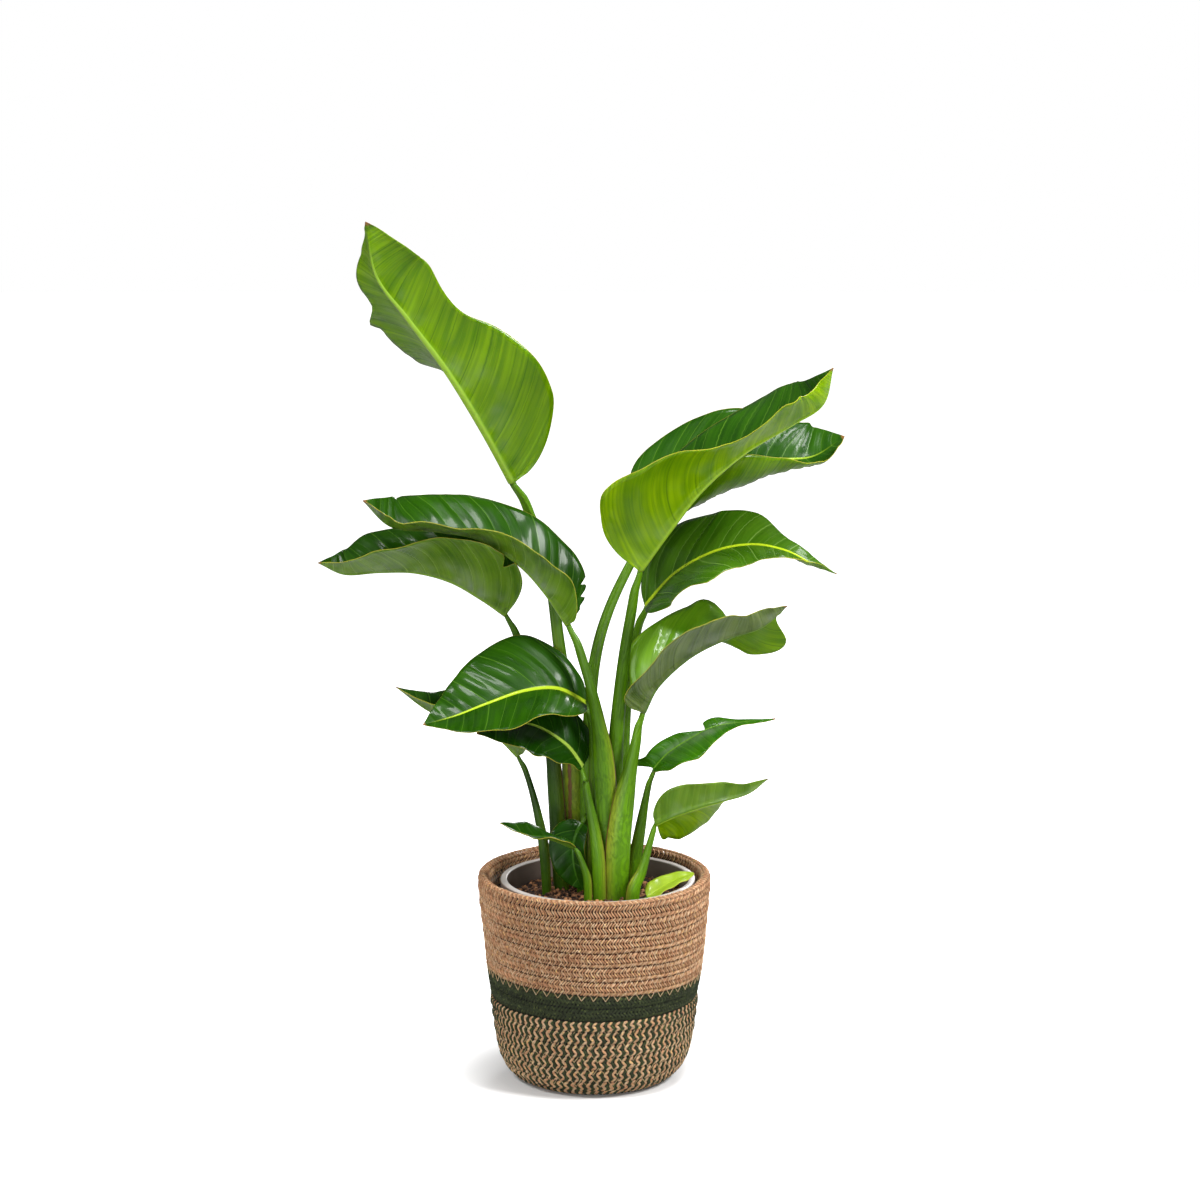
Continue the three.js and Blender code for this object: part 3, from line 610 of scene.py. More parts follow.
class LeafLook(Enum):
    """The upper and the under finish of each kind of blade, among them lighter copies with painted light and
    darker copies with painted shade.
    """

    DEEP = (LeafFinish("0f3202", "2a5604", "5a8824", "a6c026", 0.26, 0.13, vein_share=0.45, specular=0.1),
            LeafFinish("2e5406", "749628", "8aa64c", "74962e", 0.3, 0.2,
                       specular=0.14, sheen_strength=0.24, relief=0.0012, glow=0.5))
    # Painted shade: darker copies for the low blades that lie in the shade of others, the second one with a
    # dark rib
    SHADED = (LeafFinish("0a2a01", "1c4604", "4c7624", "96b242", 0.28, 0.1, specular=0.1),
              LeafFinish("2e4c08", "486818", "648232", "688a28", 0.36, 0.1, specular=0.1, glow=0.4))
    DUSKY = (LeafFinish("0c2e01", "224e04", "4c7624", "386414", 0.26, 0.2, specular=0.12, rib_width=0.002),
             LeafFinish("2e4c08", "4e6e1a", "648232", "5a7c24", 0.34, 0.14, specular=0.1, glow=0.4))
    FRESH = (LeafFinish("244e04", "4a7214", "88ac54", "acc422", 0.24, 0.16, specular=0.14),
             LeafFinish("3a5e0c", "70902e", "88a450", "74962e", 0.32, 0.2,
                        specular=0.12, sheen_strength=0.32, glow=0.5))
    # Painted light: lighter undersides for blades that light shines through
    SUNLIT = (LeafFinish("123a02", "2e5c04", "628e28", "96b428", 0.24, 0.16, specular=0.14),
              LeafFinish("3a6201", "769a02", "2c5001", "8cae3a", 0.28, 0.18,
                         stripes=0.6, vein_share=0.7, specular=0.1, sheen_strength=0.12, rib_width=0.0036,
                         glow=0.5))
    # Painted light: a still brighter copy of the sunlit look
    GOLDEN = (LeafFinish("123a02", "2e5c04", "628e28", "96b428", 0.24, 0.16, specular=0.14),
              LeafFinish("4e7a01", "96b804", "406801", "9cbe3c", 0.28, 0.18,
                         stripes=0.55, vein_share=0.6, specular=0.1, sheen_strength=0.1, rib_width=0.0034,
                         glow=0.5))
    SILVER = (LeafFinish("548c0a", "82b024", "548618", "a0be36", 0.24, 0.25, specular=0.2, sheen_strength=0.5),
              LeafFinish("3e541c", "7e9052", "3a501c", "567628", 0.34, 0.2,
                         stripes=0.4, vein_share=0.6, specular=0.14, sheen_strength=0.22, relief=0.0012,
                         glow=0.5))
    YOUNG = (LeafFinish("1c5402", "3c7006", "608c28", "68962c", 0.26, 0.12,
                        specular=0.12, sheen_strength=0.2, **YOUNG_LEAF),
             LeafFinish("466c0e", "709026", "7a983a", "547a18", 0.36, 0.12,
                        specular=0.12, sheen_strength=0.35, **YOUNG_LEAF, glow=0.5))
    LIME = (LeafFinish("82a016", "a0ba32", "96b22c", "96b228", 0.3, 0.2, relief=0.0002, **LIME_LEAF),
            LeafFinish("7a9822", "96b03e", "8eaa3a", "8eaa36", 0.4, 0.1, specular=0.2, **LIME_LEAF, glow=0.5))


class Rope(Enum):
    """The finish of each kind of strand and thread, and of the walls in the strands' shade."""

    TAN_STRAND = RopeFinish("fcc292", "ffe2b6", "a86e48", "ffd684")
    TAN_STRAND_DEEP = RopeFinish("d89a6e", "f6c090", "7c4c2e", "e2aa82")
    GREEN_STRAND = RopeFinish("323c1c", "465226", "1a220e", "5e6a36")
    TAN_SHADOW = RopeFinish("3c2618", "4c301e", "26180e", "603e28")
    GREEN_SHADOW = RopeFinish("14180c", "1e2212", "0c0e08", "222616")
    LIGHT_THREAD = RopeFinish("d6b68c", "e8cca4", "b49268", "f0dab8")
    TAN_THREAD = RopeFinish("f4d0a6", "fcdeb8", "cea47a", "fae0ba")
    GREEN_THREAD = RopeFinish("2c341a", "3c4624", "1a200e", "4c5630")


class Peat(Enum):
    """The finish of each part of the potting soil."""

    PEAT = CrumbFinish("140c08", "5c3a24", 260.0)
    PEAT_CRUMB = CrumbFinish("2c1a10", "b88054", 180.0)
    PEAT_FIBRE = CrumbFinish("825436", "d6a478", 120.0)


class Palette:
    """Every material of the plant and its basket, each made once."""

    def __init__(self) -> None:
        """Makes the materials."""
        effects = Effects()
        self.upper = {look: look.value[0].build("leaf_upper_" + look.name.lower(), effects)
                      for look in LeafLook}
        self.under = {look: look.value[1].build("leaf_under_" + look.name.lower(), effects)
                      for look in LeafLook}
        self.rope = {rope: rope.value.build(rope.name.lower(), effects) for rope in Rope}
        self.peat = {peat: peat.value.build(peat.name.lower()) for peat in Peat}
        self.stalk = StalkFinish().build(effects)
        self.film = FilmFinish().build()
        self.pot = PotFinish().build()


# Pieces


def finish_piece(name: str, bm: Mesh, materials: Sequence[Material], slot: str,
                 nodes: Sequence[str] = ()) -> None:
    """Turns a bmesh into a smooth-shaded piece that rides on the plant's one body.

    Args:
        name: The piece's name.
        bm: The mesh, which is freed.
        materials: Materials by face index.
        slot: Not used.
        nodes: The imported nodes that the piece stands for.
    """
    mesh = bpy.data.meshes.new(name)
    for face in bm.faces:
        face.smooth = True
    bm.to_mesh(mesh)
    bm.free()
    for material in materials:
        mesh.materials.append(material)
    piece = bpy.data.objects.new(name, mesh)
    bpy.context.scene.collection.objects.link(piece)
    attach(piece, BODY)
    if nodes:
        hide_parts(*nodes)
    LOG.info("%s: %d faces", name, len(mesh.polygons))


def join(bm: Mesh, parts: Iterable[Mesh]) -> None:
    """Adds parts to a mesh and frees them.

    Args:
        bm: The mesh to add to.
        parts: The parts, which may be made one by one.
    """
    passing = bpy.data.meshes.new("passing")
    for part in parts:
        part.to_mesh(passing)
        part.free()
        bm.from_mesh(passing)
    bpy.data.meshes.remove(passing)


def write_uvs(bm: Mesh, maps: dict[str, Callable]) -> None:
    """Writes UV maps whose values depend on the vertex alone.

    Args:
        bm: The mesh.
        maps: For each map's name, a function from vertex to coordinates.
    """
    for name, place in maps.items():
        layer = bm.loops.layers.uv.new(name)
        for face in bm.faces:
            for loop in face.loops:
                loop[layer].uv = place(loop.vert)


def add_rod(bm: Mesh, start: Vector, end: Vector, first: float, last: float, sides: int) -> None:
    """Adds a thin closed rod between two points.

    Args:
        bm: The mesh to add to.
        start: One end.
        end: The other end.
        first: Radius at the start.
        last: Radius at the end.
        sides: Number of sides.
    """
    along = end - start
    turn = along.to_track_quat("Z", "Y").to_matrix().to_4x4()
    bmesh.ops.create_cone(bm, cap_ends=True, cap_tris=False, segments=sides, radius1=first, radius2=last,
                          depth=along.length, matrix=Matrix.Translation((start + end) / 2) @ turn)


def spun_outline(outline: Sequence[Ring], steps: int) -> Mesh:
    """Turns an outline of radius and height round the vertical axis.

    Args:
        outline: The points, starting and ending on the axis, or else closed by the function.
        steps: Number of steps in the full turn.

    Returns:
        The closed mesh with its faces pointing out.
    """
    bm = bmesh.new()
    verts = [bm.verts.new((0.0, -radius, height)) for radius, height in outline]
    pairs = list(zip(verts, verts[1:]))
    if outline[0][0] > 0:
        pairs.append((verts[-1], verts[0]))
    edges = [bm.edges.new(pair) for pair in pairs]
    bmesh.ops.spin(bm, geom=verts + edges, cent=(0, 0, 0), axis=UP, dvec=(0, 0, 0), angle=math.tau,
                   steps=steps, use_merge=True, use_normal_flip=False, use_duplicate=False)
    bmesh.ops.remove_doubles(bm, verts=bm.verts[:], dist=1e-6)
    bmesh.ops.recalc_face_normals(bm, faces=bm.faces[:])
    return bm


@dataclass(frozen=True)
class Tear:
    """A notch in a blade's margin, or a lobe where its depth is negative.

    at and spread are shares of the blade's length, and depth is a share of the half-width.
    """

    at: float
    spread: float
    depth: float

    def left(self, share: float) -> float:
        """Share of the half-width that the notch leaves there."""
        return 1.0 - self.depth * max(0.0, 1.0 - abs(share - self.at) / self.spread)


@dataclass(frozen=True)
class Half:
    """One half of a blade from base to tip: half-widths, and fold and curl in degrees.

    The fold lifts the half from the midrib, the curl bends it further out, and the
    sweep leans its margin towards the tip.
    """

    width: tuple[float, ...]
    fold: tuple[float, ...]
    curl: tuple[float, ...] = (0.0, 0.0)
    sweep: float = 0.0
    tears: tuple[Tear, ...] = ()


@dataclass(frozen=True)
class Spine:
    """Place and directions of a blade's midrib at one share of its length."""

    at: Vector
    along: Vector
    up: Vector
    side: Vector


@dataclass(frozen=True)
class Blade:
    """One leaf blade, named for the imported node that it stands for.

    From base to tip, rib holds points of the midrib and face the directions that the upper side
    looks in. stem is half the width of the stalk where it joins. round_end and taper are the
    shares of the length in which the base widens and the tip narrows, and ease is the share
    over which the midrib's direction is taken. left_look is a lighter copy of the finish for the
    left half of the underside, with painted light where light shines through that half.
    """

    name: str
    rib: tuple[Point, ...]
    face: tuple[Point, ...]
    left: Half
    right: Half
    stem: float
    round_end: float
    taper: float
    look: LeafLook = LeafLook.DEEP
    rows: int = 84
    cells: int = 15
    thickness: float = 0.0006
    rib_depth: float = 0.0055
    left_look: LeafLook | None = None
    ease: float = 0.001

    @property
    def length(self) -> float:
        """Length of the midrib."""
        return path_length(self.rib)

    def outline(self, share: float) -> float:
        """Share of the full width that the rounded base and the tapering tip leave."""
        base = min(share / self.round_end, 1.0)
        tip = min((1 - share) / self.taper, 1.0)
        return math.sqrt(max(1 - (1 - base) ** 2, 0.0)) * (1 - (1 - tip) ** 1.6)

    def spine(self, share: float) -> Spine:
        """Midrib frame at a share of the blade's length."""
        along = tangent_at(self.rib, share, self.ease)
        up = point_at(self.face, share)
        up = (up - along * up.dot(along)).normalized()
        return Spine(point_at(self.rib, share), along, up, along.cross(up))

    def rib_half(self, share: float) -> float:
        """Half-width of the midrib."""
        return self.stem * 0.85 * (1 - share) + 0.0008

    def ridge(self, share: float, out: float) -> float:
        """Depth of the midrib below the blade at a distance from its middle."""
        reach = min(out / self.rib_half(share), 1.0)
        full = self.rib_depth * self.stem / 0.004 * (1 - share) ** 1.5 + 0.0006 * (1 - share)
        return full * math.sqrt(1 - reach * reach)

    def half_row(self, half: Half, sign: int, share: float,
                 spine: Spine) -> list[tuple[Vector, Vector, float, float]]:
        """Points across one half at a share of the blade's length.

        Args:
            half: The half's shape.
            sign: 1 for the right half and -1 for the left.
            share: The share of the length.
            spine: The midrib's frame there.

        Returns:
            For each column from the midrib out: point, normal, distance and share of the width.
        """
        stem = self.stem * (1 - share) ** 3 + 0.0005
        width = max(run_at(half.width, share), 0.0) * self.outline(share)
        for tear in half.tears:
            width *= tear.left(share)
        width += stem
        fold = math.radians(run_at(half.fold, share))
        curl = math.radians(run_at(half.curl, share))
        near = stem * 0.8
        rib = min(self.rib_half(share), width * 0.5)
        row = [(spine.at.copy(), spine.up.copy(), 0.0, 0.0)]
        out = rise = reached = 0.0
        for column in range(1, self.cells + 1):
            if column <= RIB_CELLS:
                target = rib * column / RIB_CELLS
            else:
                target = rib + (width - rib) * (column - RIB_CELLS) / (self.cells - RIB_CELLS)
            middle = (reached + target) / 2
            bend = fold * (0.5 * min(middle / near, 1.0) + 0.5 * smooth_step(0.8, 1.6, middle / near))
            angle = bend + curl * max((middle - near) / max(width - near, 1e-6), 0.0)
            out += (target - reached) * math.cos(angle)
            rise += (target - reached) * math.sin(angle)
            reached = target
            across = target / width
            normal = spine.up * math.cos(angle) - spine.side * (sign * math.sin(angle))
            wave = WAVE_SHARE * width * across ** 2 * math.sin(math.tau * WAVE_COUNT * share + sign)
            flow = share * self.length - VEIN_LEAN * target - VEIN_BEND * target * target
            flow += VEIN_SHIFT * math.sin(flow * VEIN_JITTER)
            ripple = noise.noise(Vector((flow * 34, target * 8, 3.0 * sign))) * RIPPLE * across
            ripple += noise.noise(Vector((flow * 90, target * 14, 7.0 * sign))) * FINE_RIPPLE * across
            pleat = PLEAT * min(width / 0.04, 1.0) * abs(math.sin(math.pi * flow / VEIN_PITCH))
            pleat *= smooth_step(0.05, 0.4, across) * smooth_step(1.0, 0.75, across)
            swept = half.sweep * (width - stem) * across ** 2
            point = (spine.at + spine.side * (sign * out) + spine.up * rise + spine.along * swept
                     + normal * (wave + ripple + pleat))
            row.append((point, normal, target, across))
        return row

    def build(self, palette: Palette) -> None:
        """Models the blade as two faces joined by a thin margin.

        Args:
            palette: The materials.
        """
        bm = bmesh.new()
        bmesh.ops.create_grid(bm, x_segments=self.rows, y_segments=2 * self.cells, size=1.0)
        lower = bmesh.ops.duplicate(bm, geom=bm.verts[:] + bm.edges[:] + bm.faces[:])["geom"]
        under = {part for part in lower if isinstance(part, bmesh.types.BMVert)}
        faces = [part for part in lower if isinstance(part, bmesh.types.BMFace)]
        bmesh.ops.reverse_faces(bm, faces=faces)
        for face in faces:
            face.material_index = UNDER
        rows = []
        for step in range(self.rows + 1):
            even = step / self.rows
            share = 0.4 * even + 0.6 * (0.5 - 0.5 * math.cos(math.pi * even))
            spine = self.spine(share)
            rows.append((share, self.half_row(self.left, -1, share, spine),
                         self.half_row(self.right, 1, share, spine)))
        places = {}
        for vert in bm.verts:
            row = round((vert.co.x + 1) / 2 * self.rows)
            column = round(vert.co.y * self.cells)
            share, left, right = rows[row]
            point, normal, out, across = (right if column > 0 else left)[abs(column)]
            if vert in under:
                depth = self.thickness / 2 + self.ridge(share, out)
                vert.co = point - normal * depth
            else:
                groove = 0.0007 * (1 - share) * max(1 - out / self.rib_half(share), 0.0)
                vert.co = point + normal * (self.thickness / 2 - groove)
            sign = 1 if column > 0 else -1
            places[vert] = (share, sign * out, sign * across)
        # Painted light: the left half of the underside takes a lighter copy of the finish
        if self.left_look:
            for face in bm.faces:
                if face.material_index == UNDER and sum(places[vert][1] for vert in face.verts) < 0:
                    face.material_index = UNDER_LEFT
        rims = [edge for edge in bm.edges if edge.is_boundary]
        for face in bmesh.ops.bridge_loops(bm, edges=rims)["faces"]:
            face.material_index = EDGE
        bmesh.ops.recalc_face_normals(bm, faces=bm.faces[:])
        length = self.length
        write_uvs(bm, {"metres": lambda vert: (places[vert][0] * length, places[vert][1]),
                       "shares": lambda vert: (places[vert][0], places[vert][2])})
        materials = [palette.upper[self.look], palette.under[self.look], palette.under[self.look]]
        if self.left_look:
            materials.append(palette.under[self.left_look])
        slot = "young_leaf" if self.look is LeafLook.YOUNG else "leaf"
        finish_piece(self.name + "_blade", bm, materials, slot, [self.name])


@dataclass(frozen=True)
class Stalk:
    """One leaf's stalk with its clasping sheath, from the blade down into the soil.

    The neck is the width, depth in front and depth behind where the blade begins, and each path
    entry is x, y and z before the same three. side is -1 where the broad outer face looks at the
    viewer and 1 where it looks away. margin is where the sheath's free edge runs, in turns from
    the right by way of the front, and tone runs from dark to pale.
    """

    name: str
    blade: Blade
    side: int
    margin: float
    tone: float
    neck: Point
    path: tuple[tuple[float, ...], ...]
    rings: int = 48
    sides: int = 28
    foot: float = 0.15

    def ring(self, points: Sequence[tuple[float, ...]], share: float) -> list[Vector]:
        """Places the points of one ring.

        Args:
            points: The whole path, from the blade down.
            share: The share of the length, from the blade.

        Returns:
            The points round the stalk.
        """
        spine = self.blade.spine(0.0)
        along = tangent_at(points, share)
        joint = smooth_step(0.1, 0.0, share)
        along = along.lerp(-spine.along, joint).normalized()
        front = Vector((0.0, self.side, 0.0))
        front = (front - along * front.dot(along)).normalized()
        below = (-spine.up + along * spine.up.dot(along)).normalized()
        if below.dot(front) < -0.5:
            below = -below
        front = front.lerp(below, smooth_step(0.22, 0.0, share))
        front = (front - along * front.dot(along)).normalized()
        across = front.cross(along)
        middle = point_at(points, share)
        width, before, behind = (run_at([point[index] for point in points], share) for index in (3, 4, 5))
        centre = -spine.up * (0.0028 * joint * self.blade.stem / 0.004)
        slim = 1 - 0.25 * joint
        start = math.tau * (self.margin + (0.5 if self.side > 0 else 0.0))
        lip = 0.06 * smooth_step(0.42, 0.6, share)
        ring = []
        for step in range(self.sides):
            turn = start + math.tau * step / self.sides
            depth = before if math.sin(turn) > 0 else behind
            groove = 0.35 * max(-math.sin(turn), 0.0) ** 6 if share < 0.55 else 0.0
            flare = 1 + lip * max(math.cos(turn - start), 0.0) ** 24
            reach = math.sin(turn) * depth * (1 - groove) * slim * flare
            ring.append(middle + centre + across * (math.cos(turn) * width / 2 * flare) + front * reach)
        return ring

    def build(self, palette: Palette) -> None:
        """Models the stalk as a wrapped grid, closed at both ends.

        Args:
            palette: The materials.
        """
        last = self.path[-1]
        points = ((*self.blade.rib[0], *self.neck), *self.path, (*last[:2], self.foot, *last[3:]))
        bm = bmesh.new()
        bmesh.ops.create_grid(bm, x_segments=self.rings, y_segments=self.sides, size=1.0)
        rings = [self.ring(points, step / self.rings) for step in range(self.rings + 1)]
        length = path_length(points)
        write_uvs(bm, {"run": lambda vert: ((vert.co.x + 1) / 2 * length, (vert.co.y + 1) / 2),
                       "shares": lambda vert: ((vert.co.x + 1) / 2, self.tone)})
        for vert in bm.verts:
            row = round((vert.co.x + 1) / 2 * self.rings)
            column = round((vert.co.y + 1) / 2 * self.sides)
            vert.co = rings[row][column % self.sides]
        bmesh.ops.remove_doubles(bm, verts=bm.verts[:], dist=1e-6)
        bmesh.ops.holes_fill(bm, edges=[edge for edge in bm.edges if edge.is_boundary], sides=0)
        bmesh.ops.recalc_face_normals(bm, faces=bm.faces[:])
        finish_piece(self.name + "_skin", bm, [palette.stalk], "stalk", [self.name])


@dataclass(frozen=True)
class Strand:
    """One visible length of a braid's strand.

    overlap is its length over the distance between its ends.
    """

    width: float
    thickness: float
    overlap: float

    def add(self, bm: Mesh, start: Vector, end: Vector, out: Vector, material: int) -> None:
        """Adds one strand.

        Args:
            bm: The mesh to add to.
            start: Where the strand comes out.
            end: Where it goes under.
            out: The outward direction of the surface it lies on.
            material: Its material index.
        """
        along = end - start
        half = along.length / 2 * self.overlap
        along.normalize()
        across = along.cross(out).normalized()
        turn = Matrix((across, across.cross(along), along)).transposed().to_4x4()
        size = Matrix.Diagonal((self.width / 2, self.thickness / 2, half, 1.0))
        made = bmesh.ops.create_uvsphere(bm, u_segments=5, v_segments=4, radius=1.0, calc_uvs=True,
                                         matrix=Matrix.Translation((start + end) / 2) @ turn @ size)
        for vert in made["verts"]:
            for face in vert.link_faces:
                face.material_index = material


@dataclass(frozen=True)
class Braid:
    """A kind of rope row.

    pitch is the distance in which both strands pass once, and the finishes are those of the two
    strands and of the wall behind them.
    """

    strand: Strand
    pitch: float
    finishes: tuple[Rope, Rope, Rope]
    slot: str


# Side and lift off the wall of a zigzag stitch's corners and crossings
ZIGZAG = ((1, 0.0005), (0, 0.0002), (-1, 0.0005), (0, 0.0002), (1, 0.0005))
# Strand and pitch of the thick rope and of the thin one
COARSE = (Strand(0.0028, 0.0026, 1.2), 0.0072)
FINE = (Strand(0.0019, 0.0026, 1.12), 0.0056)
COIL = Braid(*COARSE, (Rope.TAN_STRAND, Rope.GREEN_STRAND, Rope.TAN_SHADOW), "two_tone_rope")
TWO_TONE = Braid(*COARSE, (Rope.TAN_STRAND, Rope.GREEN_STRAND, Rope.GREEN_SHADOW), "two_tone_rope")
GREEN = Braid(*COARSE, (Rope.GREEN_STRAND, Rope.GREEN_STRAND, Rope.GREEN_SHADOW), "green_rope")
TAN = Braid(*FINE, (Rope.TAN_STRAND, Rope.TAN_STRAND_DEEP, Rope.TAN_SHADOW), "tan_rope")


@dataclass(frozen=True)
class Basket:
    """Coiled basket of braided rope rows sewn together with a zigzag thread.

    outer is the wall's outside as height and radius from the bottom up. The seams, where two rows
    meet, are heights on the wall and radii under the base.
    """

    outer: tuple[tuple[float, float], ...] = (
        (0.0, 0.067), (0.002, 0.0755), (0.007, 0.083), (0.014, 0.0888), (0.028, 0.0946), (0.046, 0.0978),
        (0.083, 0.1016), (0.114, 0.1063), (0.157, 0.1105), (0.182, 0.1129), (0.2046, 0.113))
    wall: float = 0.009
    base_seams: tuple[float, ...] = (0.067, 0.0536, 0.0402, 0.0268, 0.0134)
    two_tone_seams: tuple[float, ...] = (0.0075, 0.018, 0.0314, 0.0447, 0.0585, 0.072, 0.0825)
    green_seams: tuple[float, ...] = (0.0825, 0.0958, 0.109)
    tan_seams: tuple[float, ...] = (0.109, 0.1235, 0.138, 0.1525, 0.168, 0.1845)
    rim_shoulder: float = 0.1992
    rim_radius: float = 0.0054
    lean: float = 0.0042
    stitch_pitch: float = 0.01165
    stitch_reach: float = 0.0042
    thread: float = 0.0003
    tilt: float = 0.0035
    rim_lift: float = 0.0035

    def radius(self, height: float) -> float:
        """Outer radius of the wall at a height."""
        for (low, first), (high, second) in zip(self.outer, self.outer[1:]):
            if height <= high:
                return first + (second - first) * (height - low) / (high - low)
        return self.outer[-1][1]

    def on_wall(self, distance: float, height: float, lift: float) -> Vector:
        """Point on the wall at a distance round from the front, a height and a lift off it."""
        radius = self.radius(height)
        turn = distance / radius
        return Vector(((radius + lift) * math.sin(turn), -(radius + lift) * math.cos(turn), height))

    def settle(self, bm: Mesh) -> None:
        """Tilts the coil as it was sewn, lifts the rim's back and makes it a little uneven.

        Args:
            bm: The mesh of a piece of the basket.
        """
        middle, (top, mouth) = self.tan_seams[0], self.outer[-1]
        for vert in bm.verts:
            z = vert.co.z
            share = smooth_step(0.078, middle, z) * smooth_step(top, middle, z)
            vert.co.z -= self.tilt * share * vert.co.x / 0.11
            vert.co.z += self.rim_lift * smooth_step(0.176, 0.19, z) * (0.5 + 0.5 * vert.co.y / mouth)
            if z > 0.003:
                fine, broad = noise.noise_vector(vert.co * 240), noise.noise_vector(vert.co * 22)
                vert.co += fine * 0.0006 + broad * 0.0007

    def turn(self, bm: Mesh, radius: float, pitch: float) -> None:
        """Repeats round the axis what the mesh holds at the front.

        Args:
            bm: The mesh.
            radius: The radius that the pitch is measured on.
            pitch: The wanted distance between units.
        """
        count = max(round(math.tau * radius / pitch), 3)
        bmesh.ops.spin(bm, geom=bm.verts[:] + bm.edges[:] + bm.faces[:], cent=(0, 0, 0), axis=UP,
                       dvec=(0, 0, 0), angle=math.tau * (count - 1) / count, steps=count - 1,
                       use_merge=False, use_normal_flip=False, use_duplicate=True)

    def braid_row(self, stations: Sequence[Ring], braid: Braid, shift: float) -> Mesh:
        """Models one braided row.

        Args:
            stations: The ends of each tier of strands, from the top down.
            braid: The kind of row.
            shift: How far round the row is turned, as a share of the pitch.

        Returns:
            The row's mesh.
        """
        bm = bmesh.new()
        bm.loops.layers.uv.new("run")
        mean = sum(radius for radius, _ in stations) / len(stations)
        for tier, ((r0, z0), (r1, z1)) in enumerate(zip(stations, stations[1:])):
            near, far = (self.lean, 0.0) if tier % 2 == 0 else (0.0, self.lean)
            out = Vector((0.0, -(z0 - z1), -(r0 - r1))).normalized()
            for index in range(2):
                x = (index / 2 + shift) * braid.pitch
                start = Vector(((x + near) * r0 / mean, -r0, z0))
                end = Vector(((x + far) * r1 / mean, -r1, z1))
                braid.strand.add(bm, start, end, out, index)
        self.turn(bm, mean, braid.pitch)
        return bm

    def add_rows(self, palette: Palette, name: str, nodes: Sequence[str], braid: Braid,
                 rows: Sequence[Sequence[Ring]], shell: Sequence[Ring]) -> None:
        """Models a stack of braided rows on the shell that they hide.

        Args:
            palette: The materials.
            name: The piece's name.
            nodes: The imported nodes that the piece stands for.
            braid: The kind of row.
            rows: The tier ends of each row.
            shell: The shell's closed outline.
        """
        bm = spun_outline(shell, 120)
        bm.loops.layers.uv.new("run")
        for face in bm.faces:
            face.material_index = 2
        join(bm, (self.braid_row(stations, braid, 0.37 * index) for index, stations in enumerate(rows)))
        self.settle(bm)
        finish_piece(name, bm, [palette.rope[rope] for rope in braid.finishes], braid.slot, nodes)

    def wall_rows(self, seams: Sequence[float]) -> list[list[Ring]]:
        """Places wall rows, which bulge between their seams.

        Args:
            seams: Heights of the seams.

        Returns:
            The tier ends of each row.
        """
        rows = []
        for low, high in zip(seams, seams[1:]):
            heights = (high - 0.0005, high - (high - low) / 3, low + (high - low) / 3, low + 0.0005)
            bulge = (-0.0022, -0.0008, -0.0008, -0.0022)
            rows.append([(self.radius(z) + out, z) for z, out in zip(heights, bulge)])
        return rows

    def shell(self, low_seam: float, high_seam: float) -> list[Ring]:
        """Outlines the plain wall under the braid.

        Args:
            low_seam: Height of the seam that it starts at.
            high_seam: Height of the seam that it ends at.

        Returns:
            The closed outline.
        """
        low, high = low_seam + 0.0004, high_seam - 0.0004
        heights = [low, *(z for z, _ in self.outer if low < z < high), high]
        return [*((self.radius(z) - 0.0026, z) for z in heights),
                *((self.radius(z) - self.wall + 0.0016, z) for z in reversed(heights))]

    def base_rows(self) -> list[list[Ring]]:
        """Places the underside's rows and the one that turns up into the wall.

        Returns:
            The tier ends of each row.
        """
        rows = [[(self.radius(z) - 0.0012, z) for z in (0.0075, 0.0035)]]
        rows[0] += [(0.0725, 0.0016), (0.067, 0.0015)]
        for outer, inner in zip(self.base_seams, (*self.base_seams[1:], 0.002)):
            step = (outer - inner) / 3
            rows.append([(outer, 0.0017), (outer - step, 0.0014), (inner + step, 0.0014), (inner, 0.0017)])
        return rows

    def rim_row(self) -> list[Ring]:
        """Places the row over the rounded rim, from its inner side to the outer seam.

        Returns:
            The tier ends of the row.
        """
        middle = self.radius(self.rim_shoulder) - self.wall / 2
        reach = self.wall / 2 - 0.0006
        over = [(middle + reach * math.cos(math.radians(angle)),
                 self.rim_shoulder + (self.rim_radius - 0.001) * math.sin(math.radians(angle)))
                for angle in (180, 128, 76, 24)]
        low = self.tan_seams[-1]
        down = [(self.radius(z) - 0.0007, z) for z in (self.rim_shoulder - 0.004, low + 0.0045)]
        return [(over[0][0], self.rim_shoulder - 0.005), *over, *down, (self.radius(low) - 0.0017, low)]

    def inner_rows(self) -> list[list[Ring]]:
        """Places the rows on the inner face, seen between the rim and the pot.

        Returns:
            The tier ends of each row.
        """
        rows = []
        for low, high in zip(self.tan_seams[2:], (*self.tan_seams[3:], self.rim_shoulder - 0.005)):
            step = (high - low) / 3
            heights = (low, low + step, high - step, high)
            rows.append([(self.radius(z) - self.wall + 0.0015, z) for z in heights])
        return rows

    def seam_thread(self, seam: float, thread: int, shift: float) -> Mesh:
        """Models the zigzag thread over one seam.

        Args:
            seam: The seam's height.
            thread: The thread's material index.
            shift: How far round the zigzag is turned, as a share of its pitch.

        Returns:
            The thread's mesh.
        """
        bm = bmesh.new()
        bm.loops.layers.uv.new("run")
        points = [self.on_wall((step / 4 + shift) * self.stitch_pitch, seam + self.stitch_reach * side, lift)
                  for step, (side, lift) in enumerate(ZIGZAG)]
        for start, end in zip(points, points[1:]):
            add_rod(bm, start, end, self.thread, self.thread, 5)
        for face in bm.faces:
            face.material_index = thread
        self.turn(bm, self.radius(seam), self.stitch_pitch)
        return bm

